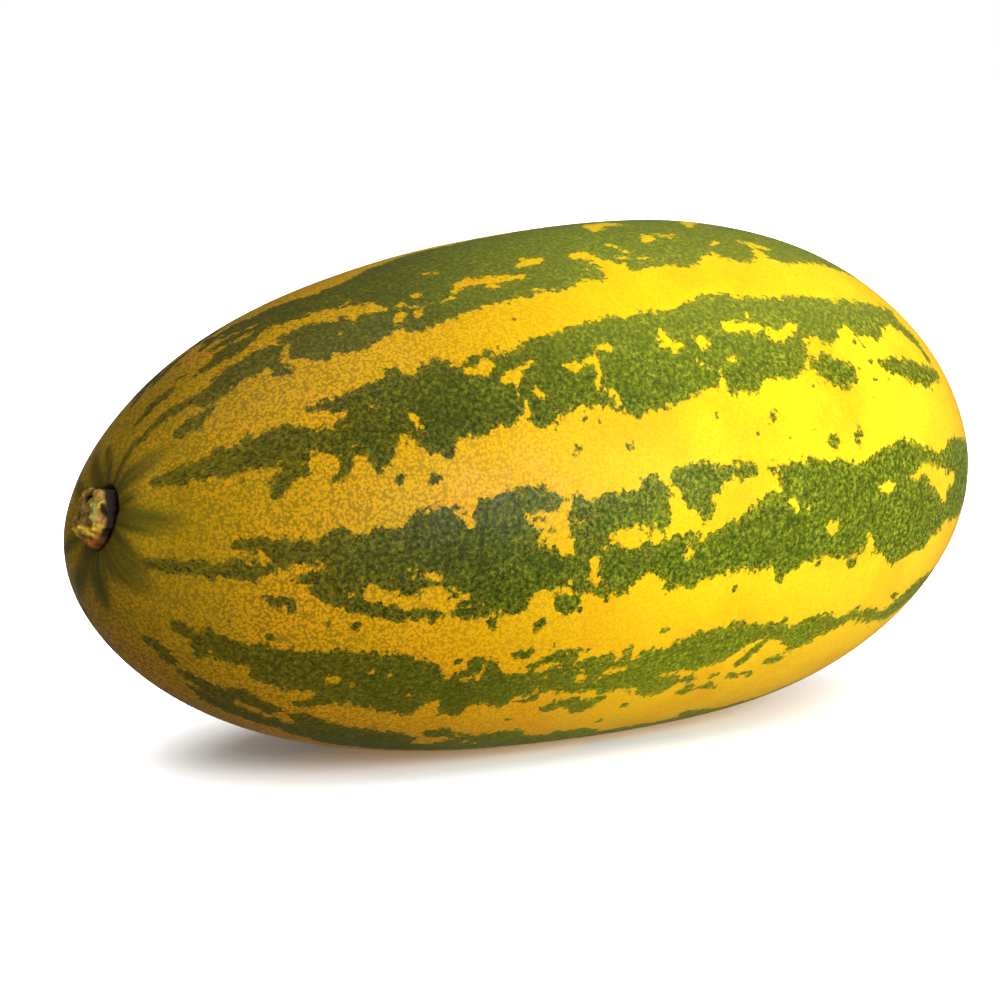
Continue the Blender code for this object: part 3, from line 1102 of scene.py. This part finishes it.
@dataclass(frozen=True)
class SkinFinish:
    """Ripe skin: gold, with ragged green stripes, duller and creased round the stalk.

    Attributes:
        name: The material's name.
        gold_and_shade_ramp: The gold's colours, from the stalk to the blossom end: partly its own ripening
            tone, partly painted shade that darkens it toward the stalk and at the blossom tip.
        cloud: The orange clouds in the gold.
        stipple: The fine olive net over the gold, thickest by the stalk.
        painted_belly_shade: Painted shade: what the underside multiplies the gold by, darker and warmer
            there.
        green_ramp: The green's colours, from its dark ground to its palest specks.
        green_fade_and_shade: How the green pales from the stalk to the blossom end: partly its own tone,
            partly painted shade that darkens it toward the stalk.
        deep: The green's broad dark clouds.
        painted_top_light: Painted top light and sheen: a paler green on the fruit's back.
        warm: The yellowing of the green underneath.
        fleck: The gold flecks in the green, thickest near its edges.
        dash: The fine olive dashes that run into the stalk.
        collar: The dull green round the stalk.
        cork: The blossom scar.
        crevice: Painted shade in the cleft beside the stalk.
        speck: The brown specks.
        shine: The specular level.
    """

    name: str = "ripe_skin"
    # Partly painted shade: darker toward the stalk and at the blossom tip than the gold's own tone.
    gold_and_shade_ramp: tuple[Stop, ...] = (
        (0.04, paint(152, 113, 4)),
        (0.30, paint(186, 142, 4)),
        (0.52, paint(220, 182, 14)),
        (0.80, paint(226, 192, 28)),
        (0.94, paint(206, 160, 22)),
    )
    cloud: Colour = paint(200, 130, 10)
    stipple: Colour = paint(112, 88, 6)
    # Painted shade: the gold underneath is darkened and warmed.
    painted_belly_shade: Colour = (1.0, 0.84, 0.80)
    green_ramp: tuple[Stop, ...] = (
        (0.34, paint(46, 58, 8)),
        (0.47, paint(80, 90, 16)),
        (0.57, paint(112, 120, 26)),
        (0.68, paint(162, 158, 38)),
    )
    # Partly painted shade: the green is darkened toward the stalk.
    green_fade_and_shade: tuple[Stop, ...] = (
        (0.08, (0.38, 0.30, 0.32)),
        (0.28, (0.36, 0.37, 0.34)),
        (0.50, (0.76, 0.86, 0.72)),
        (0.80, (0.92, 0.98, 0.90)),
    )
    deep: Colour = paint(60, 72, 12)
    # Painted top light: a paler green laid over the fruit's back.
    painted_top_light: Colour = paint(150, 148, 62)
    warm: Colour = paint(166, 156, 26)
    fleck: Colour = paint(178, 152, 22)
    dash: Colour = paint(104, 92, 14)
    collar: Colour = paint(62, 58, 10)
    cork: Colour = paint(150, 112, 58)
    # Painted shade: near-black laid in the cleft beside the stalk.
    crevice: Colour = paint(26, 18, 8)
    speck: Colour = paint(120, 84, 22)
    shine: float = 0.06

    def stripe_share(self, bench: Bench) -> bpy.types.NodeSocket:
        """How green each place is, 0 or 1 with a ragged, grainy edge.

        Args:
            bench: The material's nodes.

        Returns:
            The share.
        """
        depth = bench.attribute("stripe")
        wander = bench.remap(bench.noise(bench.place, 260.0, 2.0), 0.2, 0.8, -0.9, 0.9)
        grain = bench.remap(bench.noise(bench.place, 900.0, 3.0, 0.6), 0.2, 0.8, -1.0, 1.0)
        ragged = bench.math("ADD", bench.math("ADD", depth, wander), grain)
        return bench.remap(ragged, -0.36, 0.42)

    def golds(self, bench: Bench) -> bpy.types.NodeSocket:
        """The gold, which changes along and around the fruit and is stippled all over, with painted shade
        toward the stalk, at the blossom tip and underneath.

        Args:
            bench: The material's nodes.

        Returns:
            The colour.
        """
        along = bench.attribute("along")
        # Painted shade in part: the ramp darkens the gold toward the stalk and the blossom tip.
        base = bench.ramp(along, self.gold_and_shade_ramp)
        clouds = bench.remap(bench.noise(bench.place, 60.0, 3.0), 0.4, 0.75, 0.0, 0.4)
        base = bench.mix(clouds, base, self.cloud)
        pores = bench.cells(bench.place, 1750.0).outputs["Distance"]
        dots = bench.mix(0.4, bench.noise(bench.place, 1300.0, 3.0, 0.7), pores)
        stipple = bench.remap(dots, 0.42, 0.60, 0.0, 0.88)
        near_stalk = bench.remap(along, 0.50, 0.0)
        stipple = bench.math("MULTIPLY", stipple, bench.math("ADD", near_stalk, 0.16))
        base = bench.mix(stipple, base, self.stipple)
        rare = bench.cells(bench.place, 150.0)
        chosen = bench.remap(rare.outputs["Color"], 0.46, 0.50)
        specks = bench.math("MULTIPLY", bench.remap(rare.outputs["Distance"], 0.085, 0.045), chosen)
        base = bench.mix(specks, base, self.speck)
        # Painted shade on the gold, growing toward the underside.
        below_shade = bench.remap(bench.attribute("below"), 0.45, 1.0)
        return bench.mix(below_shade, base, self.painted_belly_shade, "MULTIPLY")

    def greens(self, bench: Bench) -> bpy.types.NodeSocket:
        """The green, which pales along the fruit, with painted shade toward the stalk and painted top light
        on its back, and is flecked with gold near its edges.

        Args:
            bench: The material's nodes.

        Returns:
            The colour.
        """
        green = bench.ramp(bench.noise(bench.place, 1250.0, 3.0, 0.65), self.green_ramp)
        broad = bench.remap(bench.noise(bench.place, 90.0, 2.0), 0.3, 0.7, 0.0, 0.3)
        green = bench.mix(broad, green, self.deep)
        # Painted top light: the green paled toward the top of the fruit.
        painted_top_light = bench.remap(bench.attribute("below"), 0.30, 0.02, 0.0, 0.35)
        green = bench.mix(painted_top_light, green, self.painted_top_light)
        warm = bench.remap(bench.attribute("below"), 0.58, 0.95, 0.0, 0.34)
        green = bench.mix(warm, green, self.warm)
        flecks = bench.remap(bench.noise(bench.place, 2300.0, 2.0, 0.6), 0.5, 0.64)
        edge = bench.remap(bench.attribute("stripe"), 3.0, 0.0, 0.12, 0.6)
        green = bench.mix(bench.math("MULTIPLY", flecks, edge), green, self.fleck)
        # Partly painted shade: the green darkened toward the stalk along the fruit.
        return bench.mix(1.0, green, bench.ramp(bench.attribute("along"), self.green_fade_and_shade), "MULTIPLY")

    def stalk_surround(self, bench: Bench, colour: object) -> bpy.types.NodeSocket:
        """Lay the dull, radiating greens round the stalk over the skin, and the painted shade of the cleft.

        Args:
            bench: The material's nodes.
            colour: The skin's colour.

        Returns:
            The colour.
        """
        grain = bench.attribute("grain", "Vector")
        dashes = bench.remap(bench.noise(grain, 62.0, 2.0, 0.6), 0.42, 0.6, 0.55, 0.0)
        dull = bench.math("MULTIPLY", dashes, bench.attribute("stem_zone"))
        colour = bench.mix(dull, colour, self.dash)
        streaked = bench.remap(bench.noise(grain, 7.0, 3.0), 0.3, 0.65, 0.70, 0.95)
        collar = bench.math("MULTIPLY", streaked, bench.attribute("collar"))
        colour = bench.mix(collar, colour, self.collar)
        # Painted shade in the cleft beside the stalk.
        return bench.mix(bench.attribute("cleft"), colour, self.crevice)

    def material(self) -> bpy.types.Material:
        """Make the skin's material.

        Returns:
            The material.
        """
        bench = Bench(self.name)
        colour = bench.mix(self.stripe_share(bench), self.golds(bench), self.greens(bench))
        colour = self.stalk_surround(bench, colour)
        colour = bench.mix(bench.attribute("scar"), colour, self.cork)
        peel = bench.noise(bench.place, 1500.0, 2.0)
        swell = bench.noise(bench.place, 210.0, 2.0)
        normal = bench.bump(peel, 0.25, 0.00012, bench.bump(swell, 0.3, 0.0004))
        roughness = bench.remap(swell, 0.3, 0.7, 0.36, 0.5)
        return bench.finish(colour, roughness, normal, self.shine)


@dataclass(frozen=True)
class CorkFinish:
    """The dried, corky end of the stalk.

    Attributes:
        name: The material's name.
        tan: Of the corky ground.
        olive: Of its greener patches.
        moss: Of the yellow-green ridges.
        sage: Of the lump that is still grey-green.
        rust: Of its browned rim.
        crumb: Of its loose dark crumbs.
        bark: Of the lower part of its wall.
        pit: Near-black of its holes, and painted shade on the wall in the cleft.
        shine: The specular level.
    """

    name: str = "dry_stalk"
    tan: Colour = paint(152, 116, 50)
    olive: Colour = paint(116, 92, 24)
    moss: Colour = paint(176, 144, 38)
    sage: Colour = paint(130, 124, 52)
    rust: Colour = paint(140, 72, 10)
    crumb: Colour = paint(96, 72, 30)
    bark: Colour = paint(92, 52, 14)
    # Near-black of the holes; on the wall in the cleft it is painted shade.
    pit: Colour = paint(26, 15, 6)
    shine: float = 0.2

    def material(self) -> bpy.types.Material:
        """Make the cork's material.

        Returns:
            The material.
        """
        bench = Bench(self.name)
        patch = bench.remap(bench.noise(bench.place, 520.0, 3.0), 0.38, 0.62)
        colour = bench.mix(patch, self.tan, self.olive)
        crumbs = bench.remap(bench.noise(bench.place, 1900.0, 3.0, 0.7), 0.4, 0.7, 0.0, 0.5)
        colour = bench.mix(crumbs, colour, self.crumb)
        layers = {"moss": self.moss, "sage": self.sage, "rust": self.rust, "bark": self.bark}
        # foot lays the pit colour on the wall in the cleft as painted shade.
        for name, tint in {**layers, "foot": self.pit, "pit": self.pit}.items():
            colour = bench.mix(bench.attribute(name), colour, tint)
        normal = bench.bump(bench.noise(bench.place, 1600.0, 4.0, 0.7), 0.7, 0.0003)
        return bench.finish(colour, 0.85, normal, self.shine)


@dataclass(frozen=True)
class FloorFinish:
    """A plain pale studio floor.

    Attributes:
        name: The material's name.
        white: Its colour.
    """

    name: str = "pale_floor"
    white: Colour = (0.9, 0.9, 0.9)

    def material(self) -> bpy.types.Material:
        """Make the floor's material.

        Returns:
            The material.
        """
        bench = Bench(self.name)
        return bench.finish(self.white, 0.9, shine=0.0)


# ------------------------------------------------------------
# Pieces
# ------------------------------------------------------------


def mesh_object(name: str, bm: bmesh.types.BMesh) -> bpy.types.Object:
    """Turn a bmesh into a smooth-shaded object at the origin.

    Args:
        name: The object's name.
        bm: The bmesh, which is freed.

    Returns:
        The object.
    """
    mesh = bpy.data.meshes.new(name)
    bm.to_mesh(mesh)
    bm.free()
    mesh.shade_smooth()
    piece = bpy.data.objects.new(name, mesh)
    bpy.context.scene.collection.objects.link(piece)
    return piece


def places_of(mesh: bpy.types.Mesh) -> Array:
    """A mesh's vertices, one a row."""
    flat = np.empty(len(mesh.vertices) * 3)
    mesh.vertices.foreach_get("co", flat)
    return flat.reshape(-1, 3)


def place_at(mesh: bpy.types.Mesh, places: Array) -> None:
    """Move a mesh's vertices."""
    mesh.vertices.foreach_set("co", places.ravel())
    mesh.update()


def normals_of(mesh: bpy.types.Mesh) -> Array:
    """A mesh's vertex normals, one a row."""
    flat = np.empty(len(mesh.vertices) * 3)
    mesh.vertex_normals.foreach_get("vector", flat)
    return flat.reshape(-1, 3)


def write_values(mesh: bpy.types.Mesh, name: str, values: Array) -> None:
    """Store one number, or one vector, for each vertex.

    Args:
        mesh: The mesh.
        name: The attribute's name.
        values: One row a vertex.
    """
    vectors = values.ndim == 2
    attribute = mesh.attributes.new(name, "FLOAT_VECTOR" if vectors else "FLOAT", "POINT")
    attribute.data.foreach_set("vector" if vectors else "value", values.astype(np.float32).ravel())


@dataclass
class FruitSkin:
    """The whole fruit's outer skin.

    Attributes:
        form: The fruit's form.
        plan: Its stripes.
        finish: Its finish.
        rings: Faces from end to end.
        segments: Faces around.
        swell: Height of the skin's slow swells, in mm.
        crease_count: Creases that run into the stalk.
        crease_depth: Their depth, in mm.
        crease_width: Half their width, in mm.
        crease_reach: How far from the stalk's axis they fade, in mm.
        lean_rise: Mean rise of the skin beside the stalk, in mm.
        lean_tilt: How much more it rises on the -Y side, and less on the other, in mm.
        crevice_radius: Of the cleft's outer edge, in mm.
        crevice_pinch: How much nearer the stalk that edge is on the -Y side, in mm.
        crevice_wall: Width of its slope, in mm.
        crevice_depth: Its depth below the dimple, in mm.
        scar_radius: Of the blossom scar, in mm.
        scar_depth: Of the blossom scar, in mm.
    """

    form: FruitForm = field(default_factory=FruitForm)
    plan: StripePlan = field(default_factory=StripePlan)
    finish: SkinFinish = field(default_factory=SkinFinish)
    rings: int = 320
    segments: int = 300
    swell: float = 0.16
    crease_count: int = 19
    crease_depth: float = 0.22
    crease_width: float = 0.9
    crease_reach: float = 24.0
    lean_rise: float = 0.45
    lean_tilt: float = 1.55
    crevice_radius: float = 6.1
    crevice_pinch: float = 1.15
    crevice_wall: float = 0.75
    crevice_depth: float = 3.2
    scar_radius: float = 3.6
    scar_depth: float = 0.5

    def build(self) -> bpy.types.Object:
        """Make the skin, shape it and dress it.

        Returns:
            The piece.
        """
        bm = bmesh.new()
        bmesh.ops.create_uvsphere(bm, u_segments=self.segments, v_segments=self.rings, radius=1.0)
        bmesh.ops.rotate(bm, matrix=Matrix.Rotation(-math.pi / 2, 3, "Y"), verts=bm.verts[:])
        piece = mesh_object("fruit_skin", bm)
        mesh = piece.data
        directions = places_of(mesh)
        directions /= np.linalg.norm(directions, axis=1, keepdims=True)
        place_at(mesh, self.form.skin_point(directions))
        skin = SkinMap.of(self.form, directions)
        self.shape(mesh, skin)
        self.dress(mesh, skin)
        return piece

    def shape(self, mesh: bpy.types.Mesh, skin: SkinMap) -> None:
        """Add the swells, the creases, the crevice and the blossom scar.

        Args:
            mesh: The skin's mesh, on the fruit's form.
            skin: The skin's map.
        """
        places = places_of(mesh)
        normals = normals_of(mesh)
        turn = np.radians(skin.around)
        lobes = ripples(turn, ((3, 0.7, 0.5), (5, -1.1, 0.3), (10, 0.4, 0.35)))
        length = skin.along * MM / self.form.length
        waves = 0.35 * np.sin(length * 23.0 + 2.0 * np.sin(2 * turn))
        waves += 0.15 * np.sin(length * 41.0 + 4 * turn)
        relief = self.swell * (lobes + waves) * np.sin(length * math.pi) ** 0.5
        away = np.linalg.norm(self.form.off_axis(places), axis=1) / MM
        relief -= self.creases(turn, away, places)
        blossom_end = length > 0.9
        relief -= np.where(blossom_end, self.scar_relief(np.degrees(skin.around_scale), turn), 0.0)
        relief += self.lean(away, places)
        places += normals * relief[:, None] * MM
        near = places[:, 0] < 0.0
        depth = np.where(near, self.crevice(away, places), 0.0)
        places -= np.outer(depth * MM, self.form.axis())
        places[:, 2] = np.maximum(places[:, 2], 0.0)
        place_at(mesh, places)

    def lean(self, away: Array, places: Array) -> Array:
        """Rise of the skin beside the stalk, in mm, higher on the -Y side and lower on the other.

        Args:
            away: Millimetres from the stalk's axis.
            places: The skin's places.

        Returns:
            One rise a point.
        """
        side, up = FaceFrame.on(self.form).flat(places)
        rise = self.lean_rise + self.lean_tilt * side / np.maximum(np.hypot(side, up), TINY)
        return np.where(places[:, 0] < 0.0, rise * ease(away, 15.0, 7.0) * ease(away, 1.0, 6.0), 0.0)

    def creases(self, turn: Array, away: Array, places: Array) -> Array:
        """Depth of the creases that run into the stalk, in mm.

        Args:
            turn: Radians around.
            away: Millimetres from the stalk's axis.
            places: The skin's places.

        Returns:
            One depth a point.
        """
        chance = np.random.default_rng(5)
        total = np.zeros(len(turn))
        for k in range(self.crease_count):
            middle = 2 * math.pi * (k + chance.uniform(-0.3, 0.3)) / self.crease_count
            reach = self.crease_reach * chance.uniform(0.5, 1.0)
            depth = self.crease_depth * chance.uniform(0.4, 1.0)
            off = np.abs((turn - middle + math.pi) % (2 * math.pi) - math.pi) * away
            total += depth * mound(off, self.crease_width) * ease(away, reach, 7.0)
        return np.where(places[:, 0] < 0.0, total, 0.0)

    def crevice(self, away: Array, places: Array) -> Array:
        """Depth of the cleft between the stalk and the skin, in mm.

        Args:
            away: Millimetres from the stalk's axis.
            places: The skin's places.

        Returns:
            One depth a point.
        """
        side, up = FaceFrame.on(self.form).flat(places)
        angle = np.arctan2(up, side)
        rim = self.crevice_radius - self.crevice_pinch * facing(angle) ** 2 + 0.1 * np.sin(4 * angle)
        return self.crevice_depth * ease(away, rim, rim - self.crevice_wall)

    def scar_relief(self, off_end: Array, turn: Array) -> Array:
        """Depth of the blossom scar, a shallow dish with a raised, knobbly rim, in mm.

        Args:
            off_end: Millimetres from the fruit's tip.
            turn: Radians around.

        Returns:
            One depth a point.
        """
        rim = self.scar_radius * (1.0 + ripples(turn, ((5, 0.0, 0.07), (9, 1.0, 0.05))))
        dish = self.scar_depth * ease(off_end, rim, rim * 0.4)
        lip = 0.35 * mound(off_end - rim, 0.8)
        nub = 0.5 * mound(off_end, 0.8)
        dimple = 0.5 * mound(off_end, 9.0)
        return dish - lip - nub + dimple

    def dress(self, mesh: bpy.types.Mesh, skin: SkinMap) -> None:
        """Write the attributes that the finish reads, and give the finish.

        Args:
            mesh: The skin's mesh.
            skin: The skin's map.
        """
        places = places_of(mesh)
        turn = np.radians(skin.around)
        away = np.linalg.norm(self.form.off_axis(places), axis=1) / MM
        away = np.where(places[:, 0] < 0.0, away, FAR)
        off_end = np.where(places[:, 0] > 0.0, np.degrees(skin.around_scale), FAR)
        write_values(mesh, "stripe", self.plan.depth(skin))
        write_values(mesh, "along", skin.along * MM / self.form.length)
        write_values(mesh, "below", 1.0 - places[:, 2] / (2 * self.form.axis_height))
        write_values(mesh, "stem_zone", ease(away, 42.0, 10.0))
        write_values(mesh, "collar", np.maximum(self.plan.collar_share(skin), 0.45 * ease(away, 14.0, 7.0)))
        # Painted shade: how dark the cleft beside the stalk is painted, by its depth.
        write_values(mesh, "cleft", ease(self.crevice(away, places), 0.4, 1.6))
        write_values(mesh, "scar", ease(off_end, self.scar_radius + 0.4, self.scar_radius - 0.4))
        stretch = 0.012  # of the grain's pattern along the fruit, against its turn
        write_values(mesh, "grain", np.column_stack((np.cos(turn), np.sin(turn), skin.along * stretch)))
        mesh.materials.append(self.finish.material())


class Tint(Enum):
    """What a lump of the stalk's face is made of, by the attribute that carries it."""

    PLAIN = "plain"
    MOSS = "moss"
    SAGE = "sage"
    RUST = "rust"
    PIT = "pit"


@dataclass(frozen=True)
class Lump:
    """A lump or a hollow on the stalk's broken face.

    Attributes:
        side: Millimetres from the middle, toward -Y.
        up: Millimetres from the middle, upward.
        wide: Half its width, in mm.
        tall: Half its height along the face, in mm.
        height: Millimetres; negative for a hollow.
        tint: What it is made of.
    """

    side: float
    up: float
    wide: float
    tall: float
    height: float
    tint: Tint = Tint.PLAIN

    def share(self, side: Array, up: Array) -> Array:
        """How much of the lump stands at each place, 0 to 1."""
        return np.exp(-(((side - self.side) / self.wide) ** 4 + ((up - self.up) / self.tall) ** 4))


@dataclass
class StalkStub:
    """The dried stub of the stalk, broken off just proud of the skin.

    Attributes:
        form: The fruit's form, which says where the stalk stands.
        finish: Its finish.
        radius: Of the stub, in mm.
        length: Of the stub, in mm.
        rise: Of the face above the seat, in mm.
        notch: How much narrower it is on the -Y side, where the cleft is, as a share of the radius.
        rings: Faces from pole to pole.
        segments: Faces around.
        lumps: Of the broken face.
    """

    form: FruitForm = field(default_factory=FruitForm)
    finish: CorkFinish = field(default_factory=CorkFinish)
    radius: float = 5.7
    length: float = 5.0
    rise: float = 1.4
    notch: float = 0.27
    rings: int = 120
    segments: int = 160
    lumps: tuple[Lump, ...] = (
        Lump(0.4, 5.3, 1.7, 1.0, 0.6),
        Lump(-2.7, 4.0, 1.3, 1.6, 0.8),
        Lump(1.4, 3.6, 1.2, 1.5, 0.7),
        Lump(-1.2, 1.2, 1.3, 1.3, 0.8),
        Lump(-4.6, 1.6, 1.2, 1.5, 0.5),
        Lump(-4.4, -1.6, 1.1, 1.4, 0.6),
        Lump(-1.2, -1.4, 1.2, 1.1, 0.9),
        Lump(-0.6, -4.8, 2.2, 1.2, 0.5),
        Lump(3.7, 3.0, 1.0, 1.5, 1.3, Tint.MOSS),
        Lump(2.0, 0.9, 0.9, 1.9, 1.1, Tint.SAGE),
        Lump(-3.6, -3.3, 1.7, 0.9, 0.9, Tint.MOSS),
        Lump(0.4, -2.6, 2.2, 0.8, 0.9, Tint.MOSS),
        Lump(3.2, -1.6, 1.4, 0.8, 0.8, Tint.MOSS),
        Lump(4.0, -2.7, 1.2, 1.0, 0.2, Tint.RUST),
        Lump(2.4, -4.3, 1.9, 1.0, 0.2, Tint.RUST),
        Lump(-0.7, 4.5, 0.6, 0.9, -1.5, Tint.PIT),
        Lump(-1.4, 2.9, 0.6, 0.7, -1.2, Tint.PIT),
        Lump(-3.0, -0.4, 0.7, 0.8, -1.6, Tint.PIT),
        Lump(1.3, -0.6, 0.4, 1.3, -1.1, Tint.PIT),
        Lump(3.3, 2.0, 0.35, 1.2, -0.8, Tint.PIT),
    )

    def build(self) -> bpy.types.Object:
        """Make the stub, shape it and dress it.

        Returns:
            The piece.
        """
        bm = bmesh.new()
        bmesh.ops.create_uvsphere(bm, u_segments=self.segments, v_segments=self.rings, radius=1.0)
        piece = mesh_object("stalk_stub", bm)
        mesh = piece.data
        local = self.post(places_of(mesh))
        side, up = local[:, 0].copy(), local[:, 1].copy()
        top = ease(local[:, 2], self.length * 0.55, self.length * 0.9)
        for lump in self.lumps:
            local[:, 2] += lump.height * lump.share(side, up) * top
        local[:, 2] += 0.26 * np.sin(side * 2.3 + up * 1.1) * np.sin(up * 2.7 - side * 0.8) * top
        local[:, 2] += 0.12 * np.sin(side * 4.9 - up * 3.1 + 1.0) * np.sin(up * 5.3 + side * 2.2) * top
        face = FaceFrame.on(self.form)
        places = face.origin + MM * (
            np.outer(local[:, 0], face.side)
            + np.outer(local[:, 1], face.up)
            + np.outer(local[:, 2] + self.rise - self.length, face.out)
        )
        place_at(mesh, places)
        for tint in (Tint.MOSS, Tint.SAGE, Tint.RUST, Tint.PIT):
            shares = [lump.share(side, up) for lump in self.lumps if lump.tint is tint]
            write_values(mesh, tint.value, ease(np.max(shares, axis=0) * top, 0.2, 0.8))
        wall = ease(self.length - local[:, 2], 0.35, 1.3)
        # Painted shade on the stub's wall in the cleft, all but its lowest side.
        write_values(mesh, "foot", wall * ease(up, -4.4, -2.6))
        write_values(mesh, "bark", wall * ease(up, -2.6, -3.8))
        mesh.materials.append(self.finish.material())
        return piece

    def post(self, sphere: Array) -> Array:
        """Square a unit sphere into a short five-lobed post with rounded rims.

        Args:
            sphere: Places on a unit sphere.

        Returns:
            Places in mm, with z from 0 at the foot.
        """
        x, y, z = sphere.T
        angle = np.arctan2(y, x)
        flat = np.hypot(x, y)
        sharp = 3.2
        grow = (np.abs(flat) ** sharp + np.abs(z) ** sharp) ** (-1.0 / sharp)
        quarter = math.pi / 2  # makes a cosine of a ripple
        lobes = 1.0 + ripples(angle, ((5, 0.5 + quarter, 0.05), (9, 1.3 + quarter, 0.025)))
        lobes += 0.018 * np.sin(17 * angle + 2.0 * z)
        lobes -= self.notch * facing(angle) ** 2
        radius = self.radius * lobes * grow
        return np.column_stack((x * radius, y * radius, (z * grow + 1.0) * self.length / 2))


@dataclass(frozen=True)
class Softbox:
    """A square studio lamp that looks at the fruit.

    Attributes:
        name: The lamp's name.
        place: Where it hangs.
        size: Of its side.
        power: In watts.
    """

    name: str
    place: tuple[float, float, float]
    size: float
    power: float

    def hang(self, target: Vector) -> None:
        """Make the lamp and point it.

        Args:
            target: What it looks at.
        """
        data = bpy.data.lights.new(self.name, "AREA")
        data.size = self.size
        data.energy = self.power
        lamp = bpy.data.objects.new(self.name, data)
        lamp.location = self.place
        lamp.rotation_euler = (target - lamp.location).to_track_quat("-Z", "Y").to_euler()
        bpy.context.scene.collection.objects.link(lamp)


@dataclass
class Studio:
    """The plain floor, the lamps and the camera.

    Attributes:
        floor_radius: Of the round floor.
        surround: The light from all round by how high it comes from: the floor's below 0.5, the sky's above.
        mirrored: How much of that light the gloss picks up.
        floor_sun: Strength of the soft light from above that only the floor takes.
        sun_tilt: The way to that light.
        sun_spread: How wide that light is, in degrees.
        lamps: The softboxes.
        lit_place: What the softboxes look at.
        azimuth: Of the camera round the fruit, in degrees; 0 looks along +Y.
        elevation: Of the camera above the horizon, in degrees.
        distance: Of the camera from its target.
        lens: In mm.
        target: What the camera looks at.
    """

    floor_radius: float = 6.0
    surround: tuple[Stop, ...] = (
        (0.00, (0.34, 0.34, 0.34)),
        (0.30, (0.66, 0.66, 0.66)),
        (0.49, (0.90, 0.90, 0.90)),
        (0.52, (0.42, 0.42, 0.42)),
    )
    mirrored: float = 0.3
    floor_sun: float = 6.5
    sun_tilt: tuple[float, float, float] = (-0.08, -0.45, 1.0)
    sun_spread: float = 90.0
    lamps: tuple[Softbox, ...] = (
        Softbox("key_light", (0.14, -1.08, 0.32), 0.6, 20.0),
        Softbox("top_light", (-0.25, 0.0, 1.1), 0.8, 6.0),
    )
    lit_place: tuple[float, float, float] = (0.0, 0.0, 0.05)
    azimuth: float = -33.0
    elevation: float = 9.0
    distance: float = 0.543
    lens: float = 100.0
    target: tuple[float, float, float] = (-0.00766, 0.00473, 0.04622)

    def build(self) -> None:
        """Lay the floor, hang the lamps, light the sky and set the camera."""
        self.lay_floor()
        for lamp in self.lamps:
            lamp.hang(Vector(self.lit_place))
        self.light_sky()
        self.set_camera()

    def light_floor(self, floor: bpy.types.Object) -> None:
        """Lift the floor to white with a soft sun from above that lights nothing else.

        Args:
            floor: The floor.
        """
        lit = bpy.data.collections.new("floor_only")
        lit.objects.link(floor)
        data = bpy.data.lights.new("floor_light", "SUN")
        data.energy = self.floor_sun
        data.angle = math.radians(self.sun_spread)
        sun = bpy.data.objects.new("floor_light", data)
        sun.rotation_euler = Vector(self.sun_tilt).to_track_quat("Z", "Y").to_euler()
        sun.light_linking.receiver_collection = lit
        bpy.context.scene.collection.objects.link(sun)

    def lay_floor(self) -> None:
        """A round, flat floor at the table's height."""
        bm = bmesh.new()
        bmesh.ops.create_circle(bm, cap_ends=True, segments=64, radius=self.floor_radius)
        floor = mesh_object("floor", bm)
        floor.data.materials.append(FloorFinish().material())
        floor.visible_diffuse = floor.visible_glossy = floor.visible_shadow = False
        self.light_floor(floor)

    def light_sky(self) -> None:
        """Light from all round: the pale floor's from below, an even sky's above; it is white to look at."""
        world = bpy.data.worlds.new("studio_sky")
        world.use_nodes = True
        nodes, links = world.node_tree.nodes, world.node_tree.links
        direction = nodes.new("ShaderNodeTexCoord")
        height = nodes.new("ShaderNodeSeparateXYZ")
        links.new(direction.outputs["Generated"], height.inputs[0])
        share = nodes.new("ShaderNodeMapRange")
        share.inputs["From Min"].default_value = -1.0
        links.new(height.outputs["Z"], share.inputs["Value"])
        ramp = nodes.new("ShaderNodeValToRGB")
        while len(ramp.color_ramp.elements) < len(self.surround):
            ramp.color_ramp.elements.new(1.0)
        for element, (place, colour) in zip(ramp.color_ramp.elements, self.surround):
            element.position = place
            element.color = (*colour, 1.0)
        links.new(share.outputs["Result"], ramp.inputs["Fac"])
        path = nodes.new("ShaderNodeLightPath")
        look = nodes.new("ShaderNodeMix")
        look.data_type = "RGBA"
        look.inputs[7].default_value = (1.0, 1.0, 1.0, 1.0)
        links.new(path.outputs["Is Camera Ray"], look.inputs[0])
        links.new(ramp.outputs["Color"], look.inputs[6])
        gloss = nodes.new("ShaderNodeMapRange")
        gloss.inputs["To Min"].default_value = 1.0
        gloss.inputs["To Max"].default_value = self.mirrored
        links.new(path.outputs["Is Glossy Ray"], gloss.inputs["Value"])
        background = nodes["Background"]
        links.new(look.outputs[2], background.inputs["Color"])
        links.new(gloss.outputs["Result"], background.inputs["Strength"])
        bpy.context.scene.world = world

    def set_camera(self) -> None:
        """A long lens, level with the fruit's shoulder."""
        turn, lift = math.radians(self.azimuth), math.radians(self.elevation)
        back = Vector((math.sin(turn) * math.cos(lift), -math.cos(turn) * math.cos(lift), math.sin(lift)))
        data = bpy.data.cameras.new("camera")
        data.lens = self.lens
        data.sensor_width = SENSOR
        data.clip_start, data.clip_end = 0.01, 50.0
        camera = bpy.data.objects.new("camera", data)
        camera.location = Vector(self.target) + back * self.distance
        camera.rotation_euler = back.to_track_quat("Z", "Y").to_euler()
        bpy.context.scene.collection.objects.link(camera)
        bpy.context.scene.camera = camera


def main() -> None:
    """Build the skin, the stub and the studio, and report each piece."""
    logging.basicConfig(level=logging.INFO, format="%(name)s: %(message)s")
    skin = FruitSkin().build()
    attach(skin, ROOT)
    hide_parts("fruit")
    stub = StalkStub().build()
    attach(stub, ROOT)
    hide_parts("stem_stub")
    for piece in (skin, stub):
        log.info("%s: %d faces", piece.name, len(piece.data.polygons))
    Studio().build()
    bpy.context.scene.view_settings.view_transform = "Standard"


if __name__ == "__main__":
    main()
